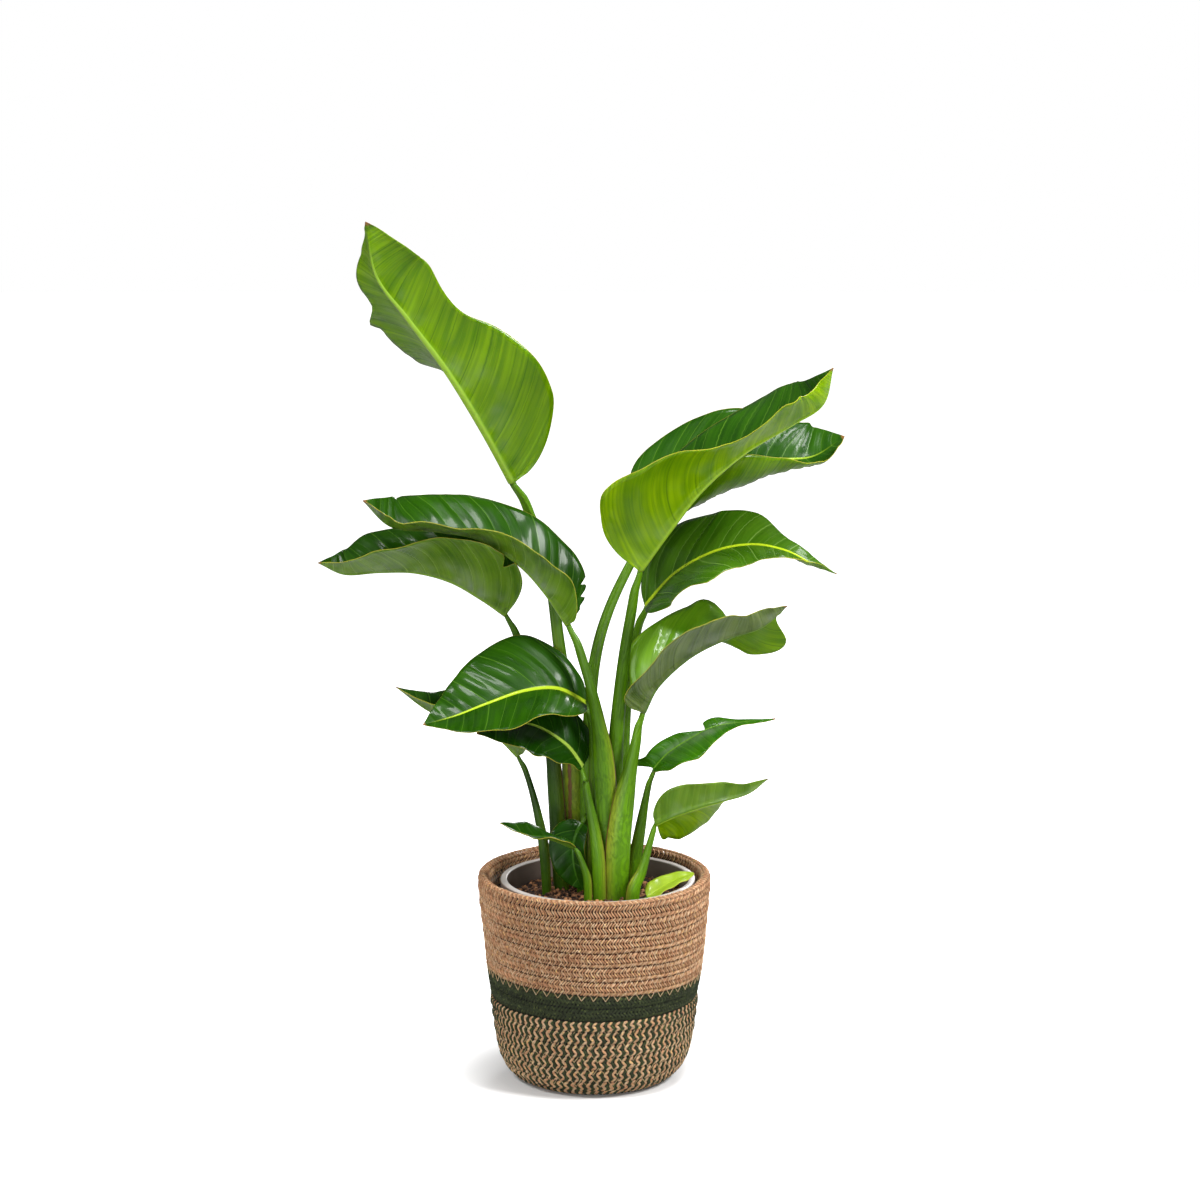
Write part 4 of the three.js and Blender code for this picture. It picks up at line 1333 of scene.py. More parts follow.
    def add_stitches(self, palette: Palette) -> None:
        """Sews a zigzag thread over every seam.

        Args:
            palette: The materials.
        """
        bm = bmesh.new()
        seams = [(seam, 0) for seam in self.two_tone_seams[1:-1]]
        seams += [(self.green_seams[1], 2), (self.tan_seams[0], 0)]
        seams += [(seam, 1) for seam in self.tan_seams[1:]]
        join(bm, (self.seam_thread(*seam, index * 0.41 % 1) for index, seam in enumerate(seams)))
        self.settle(bm)
        threads = [palette.rope[rope] for rope in (Rope.LIGHT_THREAD, Rope.TAN_THREAD, Rope.GREEN_THREAD)]
        finish_piece("basket_stitching", bm, threads, "tan_rope")

    def build(self, palette: Palette) -> None:
        """Models every part of the basket.

        Args:
            palette: The materials.
        """
        two_tone, green, tan = self.two_tone_seams, self.green_seams, self.tan_seams
        corner = self.radius(0.0075) - 0.003
        base_shell = [(0.0, 0.0018), (0.066, 0.0018), (0.0735, 0.0035), (corner, 0.0079), (0.0, 0.0079)]
        inner_shell = [(self.radius(z) - self.wall + out, z)
                       for z, out in ((0.14, 0.002), (0.19, 0.002), (0.19, 0.0026), (0.14, 0.0026))]
        for name, nodes, braid, rows, shell in (
                ("basket_base_coil", ["basket_base"], COIL, self.base_rows(), base_shell),
                ("basket_two_tone_braid", ["basket_two_tone_wall"], TWO_TONE, self.wall_rows(two_tone),
                 self.shell(two_tone[0], two_tone[-1])),
                ("basket_green_braid", ["basket_green_band"], GREEN, self.wall_rows(green),
                 self.shell(green[0], green[-1])),
                ("basket_tan_braid", ["basket_tan_wall"], TAN, [*self.wall_rows(tan), self.rim_row()],
                 self.shell(tan[0], self.rim_shoulder)),
                ("basket_inner_braid", [], TAN, self.inner_rows(), inner_shell)):
            self.add_rows(palette, name, nodes, braid, rows, shell)
        self.add_stitches(palette)


@dataclass(frozen=True)
class Liner:
    """Clear film cup between the pot and the basket."""

    film: float = 0.0005
    foot: float = 0.0085
    top: float = 0.1945

    def build(self, basket: Basket, palette: Palette) -> None:
        """Models the film with soft creases.

        Args:
            basket: The basket that the film lies in.
            palette: The materials.
        """
        count = 24
        heights = [self.foot + (self.top - self.foot) * step / count for step in range(count + 1)]
        outer = [(basket.radius(z) - basket.wall - 0.001, z) for z in heights]
        inner = [(radius - self.film, max(z, self.foot + self.film)) for radius, z in reversed(outer)]
        bm = spun_outline([(0.0, self.foot), *outer, *inner, (0.0, self.foot + self.film)], 160)
        for vert in bm.verts:
            radius = vert.co.xy.length
            if radius > 0.02 and vert.co.z > 0.02:
                turn = math.atan2(vert.co.y, vert.co.x)
                crease = noise.noise(Vector((math.cos(turn) * 5, math.sin(turn) * 5, vert.co.z * 25)))
                vert.co.xy *= 1 - 0.0012 * (0.5 + crease) / radius
        finish_piece("basket_liner_film", bm, [palette.film], "clear_liner", ["basket_liner"])


@dataclass(frozen=True)
class Pot:
    """Moulded grow pot with a turned-down lip."""

    centre: float = 0.0036
    foot: float = 0.0093
    base: float = 0.069
    mouth: float = 0.0894
    lip: float = 0.0958
    lip_drop: float = 0.013
    top: float = 0.1996
    wall: float = 0.0016
    corner: float = 0.0011

    def inner(self, height: float) -> float:
        """Inner radius of the tapering wall."""
        floor = self.foot + 2 * self.wall
        share = (height - floor) / (self.top - floor)
        return self.base - self.wall + (self.mouth - self.base + self.wall) * share

    def corner_arc(self, x: float, z: float, start: float) -> list[Ring]:
        """Quarter round about a centre, from a starting angle in degrees."""
        return [(x + self.corner * math.cos(math.radians(start + 22.5 * step)),
                 z + self.corner * math.sin(math.radians(start + 22.5 * step))) for step in range(5)]

    def build(self, palette: Palette) -> None:
        """Models the pot by turning its section.

        Args:
            palette: The materials.
        """
        under = self.top - self.wall
        low = self.top - self.lip_drop
        section = [(0.0, self.foot), (self.base - 0.002, self.foot), (self.base, self.foot + 0.002),
                   (self.inner(under) + self.wall, under), (self.lip - self.wall, under),
                   (self.lip - self.wall, low + 0.0005), (self.lip - self.wall + 0.0004, low),
                   (self.lip - 0.0004, low), (self.lip, low + 0.0005),
                   *self.corner_arc(self.lip - self.corner, self.top - self.corner, 0),
                   *self.corner_arc(self.mouth + self.corner, self.top - self.corner, 90),
                   (self.inner(0.1), 0.1), (self.inner(self.foot + 0.0035), self.foot + 0.0035),
                   (0.0, self.foot + 0.0033)]
        bm = spun_outline(section, 144)
        bmesh.ops.translate(bm, verts=bm.verts[:], vec=(self.centre, 0, 0))
        finish_piece("grow_pot_shell", bm, [palette.pot], "pot_plastic", ["grow_pot"])


@dataclass(frozen=True)
class Soil:
    """Coarse peat that fills the pot, with crumbs and fibres lying on it."""

    edge: float = 0.1805
    rise: float = 0.0025
    crumbs: int = 1500
    batch: int = 100
    fibres: int = 260
    seed: int = 11

    def height(self, x: float, y: float, reach: float) -> float:
        """Works out the height of the lumpy surface.

        Args:
            x: How far right of the pot's middle.
            y: How far behind it.
            reach: Radius of the surface.

        Returns:
            The height there.
        """
        radius = math.hypot(x, y)
        dome = self.edge + self.rise * (1 - (radius / reach) ** 2)
        lumps = noise.noise(Vector((x * 60, y * 60, 1.0))) * 0.0022
        grains = noise.noise(Vector((x * 240, y * 240, 5.0))) * 0.0012
        return dome + lumps + grains

    def build(self, pot: Pot, palette: Palette) -> None:
        """Models the soil, its crumbs and its fibres.

        Args:
            pot: The pot that holds the soil.
            palette: The materials.
        """
        reach = pot.inner(self.edge) - 0.0004
        floor = pot.foot + 0.0038
        rings = 60
        outline = [(0.0, floor), (pot.inner(floor) - 0.0004, floor), (reach, self.edge)]
        outline += [(reach * (1 - step / rings), self.edge + 0.001) for step in range(1, rings + 1)]
        bm = spun_outline(outline, 180)
        for vert in bm.verts:
            if vert.co.z > self.edge - 0.001:
                vert.co.z = self.height(vert.co.x, vert.co.y, reach)
        bmesh.ops.translate(bm, verts=bm.verts[:], vec=(pot.centre, 0, 0))
        finish_piece("potting_soil_surface", bm, [palette.peat[Peat.PEAT]], "potting_soil",
                     ["potting_soil"])
        draw = random.Random(self.seed)
        self.scatter_crumbs(pot, palette, reach, draw)
        self.scatter_fibres(pot, palette, reach, draw)

    def spot(self, draw: random.Random, reach: float) -> tuple[float, float]:
        """Random place on the surface, as likely at the edge as in the middle."""
        radius = reach * 0.97 * math.sqrt(draw.random())
        turn = math.tau * draw.random()
        return radius * math.cos(turn), radius * math.sin(turn)

    def lumps(self, centre: float, reach: float, draw: random.Random) -> Mesh:
        """Models one batch of small rough lumps.

        Args:
            centre: How far right the pot's middle is.
            reach: Radius of the surface.
            draw: The source of random numbers.

        Returns:
            The lumps' mesh.
        """
        bm = bmesh.new()
        for _ in range(self.batch):
            x, y = self.spot(draw, reach)
            size = 0.0007 + 0.0022 * draw.random() ** 2
            place = Matrix.Translation((x + centre, y, self.height(x, y, reach) + size * 0.3))
            angle = draw.random() * math.tau
            turn = Matrix.Rotation(angle, 4, Vector((draw.random(), draw.random(), 0.3)))
            length = size * (1 + draw.random())
            stretch = Matrix.Diagonal((length, size, size * (0.5 + 0.5 * draw.random()), 1))
            bmesh.ops.create_icosphere(bm, subdivisions=1, radius=1.0, matrix=place @ turn @ stretch)
        for vert in bm.verts:
            vert.co += noise.noise_vector(vert.co * 900) * 0.0005
        return bm

    def scatter_crumbs(self, pot: Pot, palette: Palette, reach: float, draw: random.Random) -> None:
        """Lays small rough lumps on the soil.

        Args:
            pot: The pot that holds the soil.
            palette: The materials.
            reach: Radius of the surface.
            draw: The source of random numbers.
        """
        bm = bmesh.new()
        join(bm, (self.lumps(pot.centre, reach, draw) for _ in range(self.crumbs // self.batch)))
        finish_piece("potting_soil_crumbs", bm, [palette.peat[Peat.PEAT_CRUMB]], "potting_soil")

    def scatter_fibres(self, pot: Pot, palette: Palette, reach: float, draw: random.Random) -> None:
        """Lays short dry fibres on the soil.

        Args:
            pot: The pot that holds the soil.
            palette: The materials.
            reach: Radius of the surface.
            draw: The source of random numbers.
        """
        bm = bmesh.new()
        for _ in range(self.fibres):
            x, y = self.spot(draw, reach * 0.96)
            turn = math.tau * draw.random()
            length = 0.003 + 0.007 * draw.random()
            start = Vector((x + pot.centre, y, self.height(x, y, reach) + 0.0008 * draw.random()))
            lean = Vector((math.cos(turn), math.sin(turn), 0.35 * (draw.random() - 0.2)))
            thick = 0.0002 + 0.0004 * draw.random()
            add_rod(bm, start, start + lean * length, thick, thick * 0.6, 4)
        finish_piece("potting_soil_fibres", bm, [palette.peat[Peat.PEAT_FIBRE]], "potting_soil")


@dataclass(frozen=True)
class Studio:
    """Pale floor, soft lights and the camera of the viewing position."""

    camera_place: Point = (0.0057, -3.2, 1.05)
    camera_pitch: float = 10.153
    focal_length: float = 100.53
    sky_light: float = 0.2

    def floor(self) -> None:
        """Lays a wide pale floor."""
        material, tree, shader = new_material("studio_floor")
        seen = tree.add("LightPath").outputs["Is Camera Ray"]
        pale = tree.mix(tree.noise(tree.place(), 3.0), "f6f6f6", "fcfcfc")
        # To the viewer the floor glows white away from the basket, painted light that hides the plant's
        # shadow there, without lighting the plant more
        tree.fill(shader, {
            "Base Color": tree.mix(seen, "bcbcbc", pale), "Roughness": 0.8,
            "Specular IOR Level": 0.1, "Emission Color": (1.0, 1.0, 1.0, 1.0),
            "Emission Strength": tree.times(tree.step(tree.radius(), 0.085, 0.19), seen)})
        bm = bmesh.new()
        bmesh.ops.create_grid(bm, x_segments=2, y_segments=2, size=9.0)
        bmesh.ops.translate(bm, verts=bm.verts[:], vec=(0, 0, -0.0002))
        mesh = bpy.data.meshes.new("studio_floor")
        bm.to_mesh(mesh)
        bm.free()
        mesh.materials.append(material)
        ground = bpy.data.objects.new("studio_floor", mesh)
        bpy.context.scene.collection.objects.link(ground)

    def light(self, name: str, place: Point, size: float, power: float, aim_height: float = 0.4) -> None:
        """Hangs one soft square light.

        Args:
            name: The light's name.
            place: Where it hangs.
            size: Its side length.
            power: Its power in watts.
            aim_height: Height of the point over the origin that it faces.
        """
        data = bpy.data.lights.new(name, "AREA")
        data.shape = "SQUARE"
        data.size = size
        data.energy = power
        lamp = bpy.data.objects.new(name, data)
        lamp.location = place
        aim = UP * aim_height - lamp.location
        lamp.rotation_euler = aim.to_track_quat("-Z", "Y").to_euler()
        bpy.context.scene.collection.objects.link(lamp)

    def sky(self) -> None:
        """Makes a white surrounding that lights the plant less than it shows."""
        world = bpy.data.worlds.new("studio_sky")
        world.use_nodes = True
        tree = Tree(world.node_tree)
        sky = world.node_tree.nodes["Background"]
        sky.inputs["Color"].default_value = (1.0, 1.0, 1.0, 1.0)
        seen = tree.add("LightPath").outputs["Is Camera Ray"]
        tree.feed(sky.inputs["Strength"], tree.line(seen, 1.0 - self.sky_light, self.sky_light))
        bpy.context.scene.world = world

    def build(self) -> None:
        """Sets up the floor, the lights, the sky and the camera."""
        bpy.context.scene.view_settings.view_transform = "Standard"
        self.floor()
        self.light("key_light", (1.7, -1.0, 2.05), 0.7, 66)
        self.light("left_light", (-1.35, -1.3, 2.1), 0.5, 30)
        self.light("top_light", (0.5, -0.4, 2.4), 0.5, 24)
        self.light("front_light", (-0.7, -2.9, 0.5), 2.2, 55)
        self.light("back_light", (0.5, 2.3, 1.15), 0.6, 16, 0.5)
        self.sky()
        data = bpy.data.cameras.new("view")
        data.lens = self.focal_length
        data.sensor_width = 36.0
        data.clip_end = 30.0
        camera = bpy.data.objects.new("view", data)
        camera.location = self.camera_place
        camera.rotation_euler = (math.radians(90 - self.camera_pitch), 0, 0)
        bpy.context.scene.collection.objects.link(camera)
        bpy.context.scene.camera = camera


BLADES = (
    Blade("leaf_tall",
        ((-0.078, 0.027, 0.591), (-0.106, 0.006, 0.644), (-0.141, -0.020, 0.704), (-0.176, -0.040, 0.754),
         (-0.204, -0.058, 0.796), (-0.212, -0.070, 0.847)),
        ((0.71, 0.5, 0.49), (0.47, 0.82, 0.33), (0.28, 0.94, 0.19)),
        Half((0.050, 0.061, 0.073, 0.076, 0.064, 0.045, 0.042, 0.047, 0.044, 0.047, 0.042),
             (60, 40, 30), (0, 0, -10)),
        Half((0.050, 0.056, 0.061, 0.063, 0.062, 0.055, 0.054, 0.037, 0.038, 0.032, 0.026),
             (70, 66, 58, 44, 33, 27, 22, 22, 34, 45, 50), (0, 0), -0.25, (Tear(0.65, 0.045, -0.48),)),
        0.0045, 0.2, 0.2, LeafLook.SUNLIT),
    Blade("leaf_upper_right_front",
        ((0.042, -0.010, 0.511), (0.069, -0.023, 0.549), (0.102, -0.032, 0.591), (0.142, -0.037, 0.626),
         (0.187, -0.041, 0.653), (0.217, -0.044, 0.673), (0.226, -0.048, 0.7085)),
        ((-0.7, -0.1, 0.7), (-0.55, -0.1, 0.85), (-0.4, -0.1, 0.9)),
        Half((0.058, 0.056, 0.058, 0.058, 0.056, 0.056, 0.062, 0.053, 0.045, 0.046, 0.034),
             (70, 40, 27, 30, 50)),
        Half((0.058, 0.063, 0.085, 0.077, 0.068, 0.040, 0.042, 0.047, 0.043, 0.031, 0.024),
             (80, 74, 66, 53, 42, 36, 30, 34, 42, 50, 55)),
        0.0045, 0.14, 0.2, LeafLook.GOLDEN, ease=0.08),
    Blade("leaf_upper_right_back",
        ((0.053, 0.040, 0.537), (0.076, 0.054, 0.564), (0.109, 0.065, 0.584), (0.148, 0.071, 0.599),
         (0.184, 0.076, 0.604), (0.217, 0.080, 0.607), (0.247, 0.084, 0.626)),
        ((-0.6, -0.4, 0.7), (-0.3, -0.4, 0.9), (-0.2, -0.3, 0.9)),
        Half((0.046, 0.053, 0.058, 0.062, 0.061, 0.057, 0.050, 0.041, 0.038, 0.027, 0.020),
             (40, 40, 20), (0, 0), 0.3),
        Half((0.060, 0.084, 0.092, 0.062, 0.036, 0.022), (-20, -32, -30, -10), (120, 160, 115, 30)),
        0.004, 0.2, 0.12, LeafLook.SUNLIT, cells=18),
    Blade("leaf_middle_right",
        ((0.049, 0.016, 0.468), (0.079, 0.005, 0.503), (0.116, -0.014, 0.527), (0.152, -0.022, 0.535),
         (0.183, -0.032, 0.531), (0.208, -0.042, 0.520), (0.232, -0.050, 0.511)),
        ((-0.5, -0.35, 0.8), (-0.2, -0.35, 0.9), (0.2, -0.3, 0.9)),
        Half((0.041, 0.044, 0.054, 0.051, 0.046, 0.040, 0.022, 0.012, 0.011, 0.009, 0.006),
             (20, 15, 10)),
        Half((0.040, 0.050, 0.058, 0.070, 0.060, 0.047, 0.042, 0.026, 0.027, 0.026, 0.016),
             (0, 8, 5, -15), (0, 0, 20, 150), 0.0, (Tear(0.355, 0.04, -0.22),)),
        0.004, 0.2, 0.3, LeafLook.FRESH),
    Blade("leaf_folded_right",
        ((0.045, -0.005, 0.369), (0.060, -0.012, 0.396), (0.091, -0.020, 0.425), (0.126, -0.028, 0.444),
         (0.161, -0.036, 0.457), (0.185, -0.044, 0.479)),
        ((-0.8, -0.1, 0.6), (-0.5, 0.1, 0.85), (-0.3, 0.6, 0.7)),
        Half((0.026, 0.036, 0.046, 0.050, 0.050, 0.049, 0.026, 0.026, 0.027, 0.010, 0.0),
             (70, 66, 60, 52, 46, 38, -45, -62, -60, -60, -60), (0, 0), 0.35,
             (Tear(0.91, 0.08, 1.0), Tear(0.99, 0.06, 1.0))),
        Half((0.034, 0.033, 0.032, 0.034, 0.044, 0.054, 0.045, 0.037, 0.030, 0.024, 0.020),
             (50, 35, 25, 20)),
        0.004, 0.2, 0.2, LeafLook.SILVER, left_look=LeafLook.SUNLIT),
    Blade("leaf_small_right",
        ((0.057, -0.006, 0.310), (0.073, -0.010, 0.328), (0.095, -0.016, 0.344), (0.116, -0.022, 0.356),
         (0.143, -0.028, 0.362), (0.175, -0.034, 0.367)),
        ((-0.6, -0.35, 0.8), (-0.3, -0.35, 0.9), (-0.1, -0.3, 0.9)),
        Half((0.016, 0.014, 0.013, 0.0125, 0.010, 0.003, 0.008, 0.009, 0.005, 0.003, 0.002),
             (50, 35, 20), (0, 0), -1.1, (Tear(0.04, 0.09, -1.5), Tear(0.52, 0.05, 1.0))),
        Half((0.022, 0.029, 0.036, 0.040, 0.040, 0.038, 0.032, 0.015, 0.009, 0.008, 0.004),
             (10, 0, -10)),
        0.003, 0.3, 0.35, LeafLook.YOUNG, rows=70, cells=12),
    Blade("leaf_low_right",
        ((0.060, -0.020, 0.260), (0.080, -0.026, 0.270), (0.103, -0.032, 0.279), (0.124, -0.038, 0.286),
         (0.149, -0.044, 0.295), (0.168, -0.050, 0.311)),
        ((-0.3, 0.9, 0.3), (-0.2, 0.9, 0.3)),
        Half((0.030, 0.034, 0.037, 0.038, 0.038, 0.035, 0.025, 0.008, 0.0065, 0.006, 0.005),
             (10, 15, 25, 70, 75), (0, 0), -0.5,
             (Tear(0.03, 0.06, -0.5), Tear(0.64, 0.07, 1.0), Tear(0.72, 0.08, 1.0))),
        Half((0.017, 0.025, 0.0215, 0.015, 0.012), (20, 20, 20)),
        0.0025, 0.25, 0.35, LeafLook.YOUNG, rows=70, cells=12, left_look=LeafLook.GOLDEN),
    Blade("leaf_short_in_pot",
        ((0.052, -0.038, 0.190), (0.065, -0.035, 0.198), (0.081, -0.030, 0.206), (0.098, -0.025, 0.210)),
        ((-0.3, -0.4, 0.85), (-0.2, -0.45, 0.85)),
        Half((0.010, 0.011, 0.009, 0.007, 0.008), (20, 20)),
        Half((0.012, 0.013, 0.010), (15, 20)),
        0.0025, 0.2, 0.3, LeafLook.LIME, rows=40, cells=9),
    Blade("leaf_upper_left",
        ((-0.023, -0.004, 0.456), (-0.045, -0.010, 0.488), (-0.071, -0.016, 0.516), (-0.109, -0.024, 0.541),
         (-0.151, -0.032, 0.550), (-0.193, -0.040, 0.555), (-0.220, -0.046, 0.581)),
        ((0.8, -0.05, 0.6), (0.4, -0.05, 0.9), (0.0, -0.1, 1.0)),
        Half((0.026, 0.030, 0.040, 0.040, 0.038, 0.038, 0.047, 0.051, 0.050, 0.049, 0.044),
             (50, 38, 22, 20)),
        Half((0.042, 0.046, 0.050, 0.0515, 0.052, 0.052, 0.048, 0.045, 0.044, 0.036, 0.028),
             (60, 45, 32, 35), (0, 0), 0.0,
             (Tear(0.02, 0.01, 0.25), Tear(0.05, 0.012, 0.3), Tear(0.085, 0.01, 0.25))),
        0.004, 0.2, 0.12),
    Blade("leaf_middle_left",
        ((-0.085, 0.012, 0.463), (-0.107, 0.008, 0.478), (-0.138, 0.002, 0.496), (-0.173, -0.006, 0.506),
         (-0.208, -0.014, 0.507), (-0.240, -0.022, 0.506), (-0.265, -0.028, 0.518)),
        ((0.7, -0.05, 0.6), (0.3, -0.05, 0.9), (-0.1, -0.1, 1.0)),
        Half((0.060, 0.055, 0.062, 0.069, 0.062, 0.060, 0.056, 0.050, 0.040, 0.036, 0.028),
             (66, 55, 40, 35), (0, 0), 0.0, (Tear(0.2, 0.035, 0.25),)),
        Half((0.044, 0.050, 0.053, 0.054, 0.053, 0.050, 0.047, 0.043, 0.033, 0.029, 0.024),
             (60, 55, 40, 35)),
        0.0035, 0.2, 0.16),
    Blade("leaf_front_left",
        ((-0.008, -0.003, 0.376), (-0.035, -0.018, 0.393), (-0.067, -0.034, 0.394), (-0.103, -0.052, 0.385),
         (-0.133, -0.066, 0.376), (-0.163, -0.078, 0.370)),
        ((0.2, -0.5, 0.8), (-0.1, -0.6, 0.8), (-0.1, -0.6, 0.8)),
        Half((0.024, 0.038, 0.050, 0.056, 0.057, 0.056, 0.053, 0.046, 0.035, 0.028, 0.024),
             (17, 17, 10)),
        Half((0.026, 0.028, 0.044, 0.056, 0.058, 0.053, 0.046, 0.036, 0.030, 0.027, 0.022),
             (17, 17, 10)),
        0.004, 0.2, 0.25),
    Blade("leaf_under_left",
        ((-0.011, -0.012, 0.314), (-0.028, -0.018, 0.338), (-0.057, -0.028, 0.358), (-0.086, -0.038, 0.363),
         (-0.113, -0.048, 0.355)),
        ((0.4, -0.5, 0.8), (0.0, -0.5, 0.8)),
        Half((0.014, 0.016, 0.026, 0.037, 0.046, 0.050, 0.048, 0.044, 0.042, 0.036, 0.026),
             (10, 10)),
        Half((0.026, 0.036, 0.032, 0.022), (15, 15)),
        0.003, 0.2, 0.25, LeafLook.SHADED, rows=64, cells=12),
    Blade("leaf_back_left",
        ((-0.074, 0.020, 0.320), (-0.095, 0.014, 0.340), (-0.126, 0.006, 0.356), (-0.160, -0.002, 0.367),
         (-0.193, -0.010, 0.393)),
        ((0.4, -0.1, 0.9), (0.0, -0.1, 1.0)),
        Half((0.030, 0.036, 0.030, 0.020), (35, 35)),
        Half((0.030, 0.036, 0.030, 0.024), (35, 35)),
        0.003, 0.2, 0.35, rows=64, cells=12),
    Blade("leaf_low_left",
        ((-0.019, -0.024, 0.238), (-0.042, -0.030, 0.247), (-0.066, -0.036, 0.252), (-0.092, -0.042, 0.265)),
        ((0.2, -0.1, 1.0), (0.2, -0.1, 1.0)),
        Half((0.016, 0.020, 0.016, 0.012), (20, 10)),
        Half((0.003, 0.003, 0.003, 0.004, 0.008, 0.016, 0.0185, 0.0185, 0.017, 0.0155, 0.014),
             (20, 20)),
        0.0025, 0.2, 0.35, LeafLook.DUSKY, rows=52, cells=10),
    Blade("leaf_hanging_centre",
        ((-0.012, -0.005, 0.256), (-0.018, -0.012, 0.246), (-0.021, -0.015, 0.229), (-0.018, -0.016, 0.207),
         (-0.011, -0.016, 0.190)),
        ((-0.2, -1.0, 0.3), (-0.1, -1.0, 0.2)),
        Half((0.012, 0.012, 0.012, 0.008), (15, 15)),
        Half((0.017, 0.0185, 0.0215, 0.0235, 0.0235, 0.0225, 0.0205, 0.018, 0.0155, 0.013, 0.010),
             (15, 15)),
        0.0025, 0.45, 0.35, LeafLook.DUSKY, rows=52, cells=10),
)


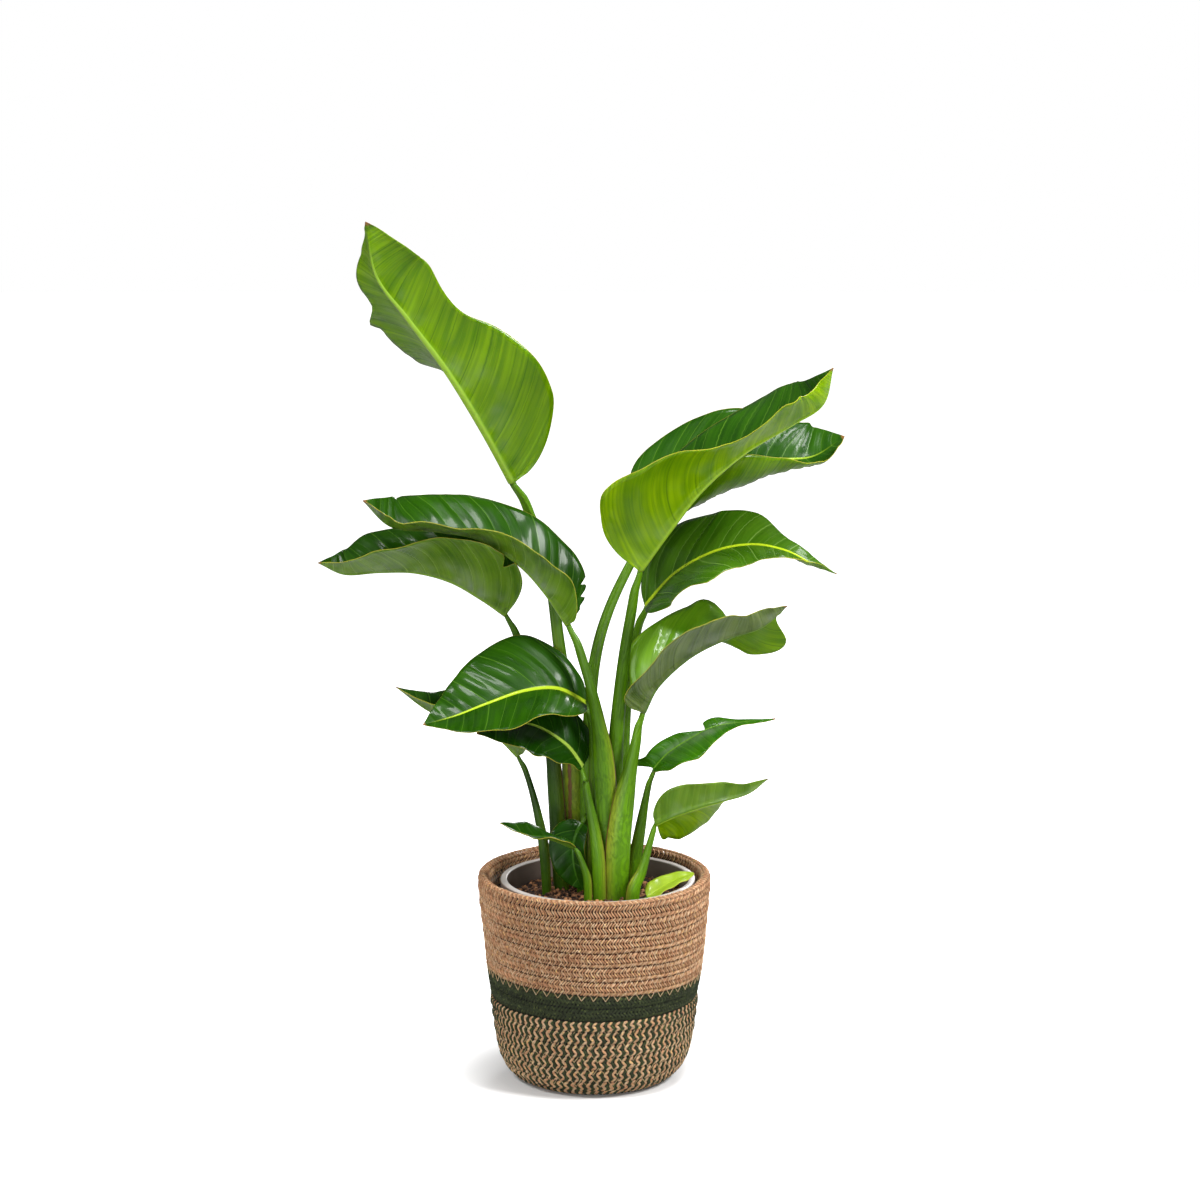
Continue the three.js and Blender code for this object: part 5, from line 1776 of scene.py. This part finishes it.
# For each stalk: outer side, sheath margin, tone, neck and path
STALKS = {
    "tall": (1, 0.3, 0.4, (0.009, 0.004, 0.004), (
        (-0.064, 0.030, 0.560, 0.010, 0.0045, 0.0045), (-0.044, 0.028, 0.497, 0.011, 0.005, 0.005),
        (-0.035, 0.026, 0.432, 0.012, 0.0055, 0.0055), (-0.027, 0.025, 0.368, 0.015, 0.007, 0.006),
        (-0.021, 0.028, 0.306, 0.022, 0.009, 0.007), (-0.020, 0.030, 0.240, 0.024, 0.010, 0.008),
        (-0.019, 0.030, 0.179, 0.023, 0.010, 0.008))),
    "upper_right_back": (1, 0.75, 0.6, (0.008, 0.004, 0.004), (
        (0.035, 0.033, 0.506, 0.009, 0.004, 0.004), (0.017, 0.027, 0.469, 0.010, 0.0045, 0.0045),
        (0.005, 0.024, 0.433, 0.011, 0.005, 0.005), (-0.002, 0.021, 0.393, 0.012, 0.005, 0.005),
        (-0.005, 0.018, 0.344, 0.013, 0.006, 0.005), (-0.006, 0.015, 0.284, 0.016, 0.006, 0.005),
        (-0.004, 0.014, 0.183, 0.017, 0.006, 0.005))),
    "middle_right": (1, 0.5, 0.6, (0.008, 0.004, 0.004), (
        (0.042, 0.025, 0.440, 0.008, 0.004, 0.004), (0.035, 0.025, 0.403, 0.009, 0.004, 0.004),
        (0.031, 0.023, 0.364, 0.011, 0.005, 0.005), (0.028, 0.019, 0.313, 0.013, 0.005, 0.005),
        (0.025, 0.020, 0.253, 0.015, 0.005, 0.005), (0.024, 0.021, 0.181, 0.015, 0.005, 0.005))),
    "upper_right_front": (-1, 0.75, 0.35, (0.009, 0.0045, 0.0045), (
        (0.037, -0.009, 0.473, 0.010, 0.0045, 0.0045), (0.030, -0.006, 0.429, 0.011, 0.005, 0.005),
        (0.025, -0.003, 0.383, 0.013, 0.005, 0.005), (0.021, 0.001, 0.333, 0.015, 0.006, 0.005),
        (0.019, 0.004, 0.277, 0.018, 0.006, 0.005), (0.020, 0.006, 0.185, 0.019, 0.006, 0.005))),
    "front_left": (-1, 0.5, 0.4, (0.008, 0.004, 0.004), (
        (-0.001, -0.002, 0.351, 0.009, 0.004, 0.004), (0.001, -0.003, 0.314, 0.012, 0.005, 0.003),
        (0.001, -0.004, 0.259, 0.014, 0.005, 0.003), (0.000, -0.004, 0.188, 0.014, 0.005, 0.003))),
    "hanging_centre": (1, 0.75, 0.4, (0.0045, 0.0022, 0.0022), (
        (-0.008, 0.000, 0.262, 0.0045, 0.0022, 0.0022), (-0.007, 0.007, 0.257, 0.0045, 0.0022, 0.0022),
        (-0.009, 0.008, 0.240, 0.005, 0.0025, 0.0025), (-0.012, 0.006, 0.213, 0.006, 0.0025, 0.0025),
        (-0.014, 0.004, 0.186, 0.006, 0.0025, 0.0025))),
    "upper_left": (-1, 0.02, 0.4, (0.008, 0.004, 0.004), (
        (-0.013, -0.011, 0.426, 0.009, 0.004, 0.004), (-0.003, -0.018, 0.393, 0.010, 0.005, 0.004),
        (0.004, -0.016, 0.359, 0.014, 0.006, 0.004), (0.009, -0.012, 0.321, 0.020, 0.007, 0.003),
        (0.012, -0.010, 0.260, 0.023, 0.008, 0.003), (0.013, -0.008, 0.189, 0.024, 0.008, 0.003))),
    "small_right": (-1, 0.48, 0.6, (0.006, 0.003, 0.003), (
        (0.051, -0.004, 0.283, 0.007, 0.003, 0.003), (0.045, -0.001, 0.248, 0.011, 0.004, 0.002),
        (0.040, 0.001, 0.215, 0.013, 0.005, 0.002), (0.037, 0.002, 0.184, 0.013, 0.005, 0.002))),
    "back_left": (-1, 0.0, 0.05, (0.006, 0.003, 0.003), (
        (-0.064, 0.014, 0.293, 0.006, 0.003, 0.003), (-0.056, 0.008, 0.264, 0.008, 0.003, 0.002),
        (-0.050, 0.004, 0.231, 0.010, 0.003, 0.002), (-0.047, 0.002, 0.188, 0.009, 0.003, 0.002))),
    "middle_left": (-1, 0.06, 0.0, (0.008, 0.0035, 0.0035), (
        (-0.074, 0.013, 0.435, 0.008, 0.0035, 0.0035), (-0.058, 0.015, 0.385, 0.009, 0.004, 0.004),
        (-0.043, 0.017, 0.334, 0.013, 0.005, 0.003), (-0.038, 0.018, 0.283, 0.016, 0.007, 0.003),
        (-0.035, 0.018, 0.233, 0.017, 0.007, 0.003), (-0.032, 0.018, 0.182, 0.016, 0.007, 0.003))),
    "folded_right": (-1, 0.46, 0.65, (0.008, 0.004, 0.004), (
        (0.041, -0.010, 0.340, 0.010, 0.004, 0.004), (0.035, -0.014, 0.311, 0.014, 0.005, 0.003),
        (0.029, -0.018, 0.282, 0.021, 0.006, 0.002), (0.024, -0.021, 0.243, 0.024, 0.007, 0.002),
        (0.022, -0.022, 0.193, 0.024, 0.007, 0.002))),
    "under_left": (-1, 0.03, 0.5, (0.006, 0.003, 0.003), (
        (-0.006, -0.017, 0.284, 0.008, 0.0035, 0.003), (0.000, -0.022, 0.255, 0.011, 0.004, 0.002),
        (0.004, -0.025, 0.226, 0.013, 0.005, 0.002), (0.005, -0.026, 0.194, 0.013, 0.005, 0.002))),
    "low_left": (-1, 0.03, 0.4, (0.005, 0.0025, 0.0025), (
        (-0.012, -0.027, 0.222, 0.006, 0.003, 0.003), (-0.007, -0.029, 0.207, 0.008, 0.003, 0.002),
        (-0.006, -0.030, 0.190, 0.008, 0.003, 0.002))),
    "low_right": (-1, 0.48, 0.65, (0.005, 0.0025, 0.0025), (
        (0.053, -0.026, 0.236, 0.007, 0.003, 0.003), (0.046, -0.031, 0.213, 0.010, 0.004, 0.002),
        (0.038, -0.036, 0.194, 0.013, 0.005, 0.002))),
    "short_in_pot": (-1, 0.75, 0.9, (0.005, 0.0025, 0.0025), (
        (0.046, -0.039, 0.181, 0.005, 0.0025, 0.0025), (0.045, -0.039, 0.166, 0.005, 0.0025, 0.0025))),
}


class Plant:
    """All the leaves of the plant, each with its stalk."""

    def build(self, palette: Palette) -> None:
        """Models every blade and stalk.

        Args:
            palette: The materials.
        """
        for blade in BLADES:
            blade.build(palette)
            name = blade.name.replace("leaf_", "stalk_", 1)
            Stalk(name, blade, *STALKS[blade.name.removeprefix("leaf_")]).build(palette)


def main() -> None:
    """Builds the studio, the basket, the pot and the plant in order."""
    logging.basicConfig(level=logging.INFO, format="%(message)s")
    noise.seed_set(NOISE_SEED)
    palette = Palette()
    Studio().build()
    basket = Basket()
    basket.build(palette)
    Liner().build(basket, palette)
    pot = Pot()
    pot.build(palette)
    Soil().build(pot, palette)
    Plant().build(palette)


if __name__ == "__main__":
    main()
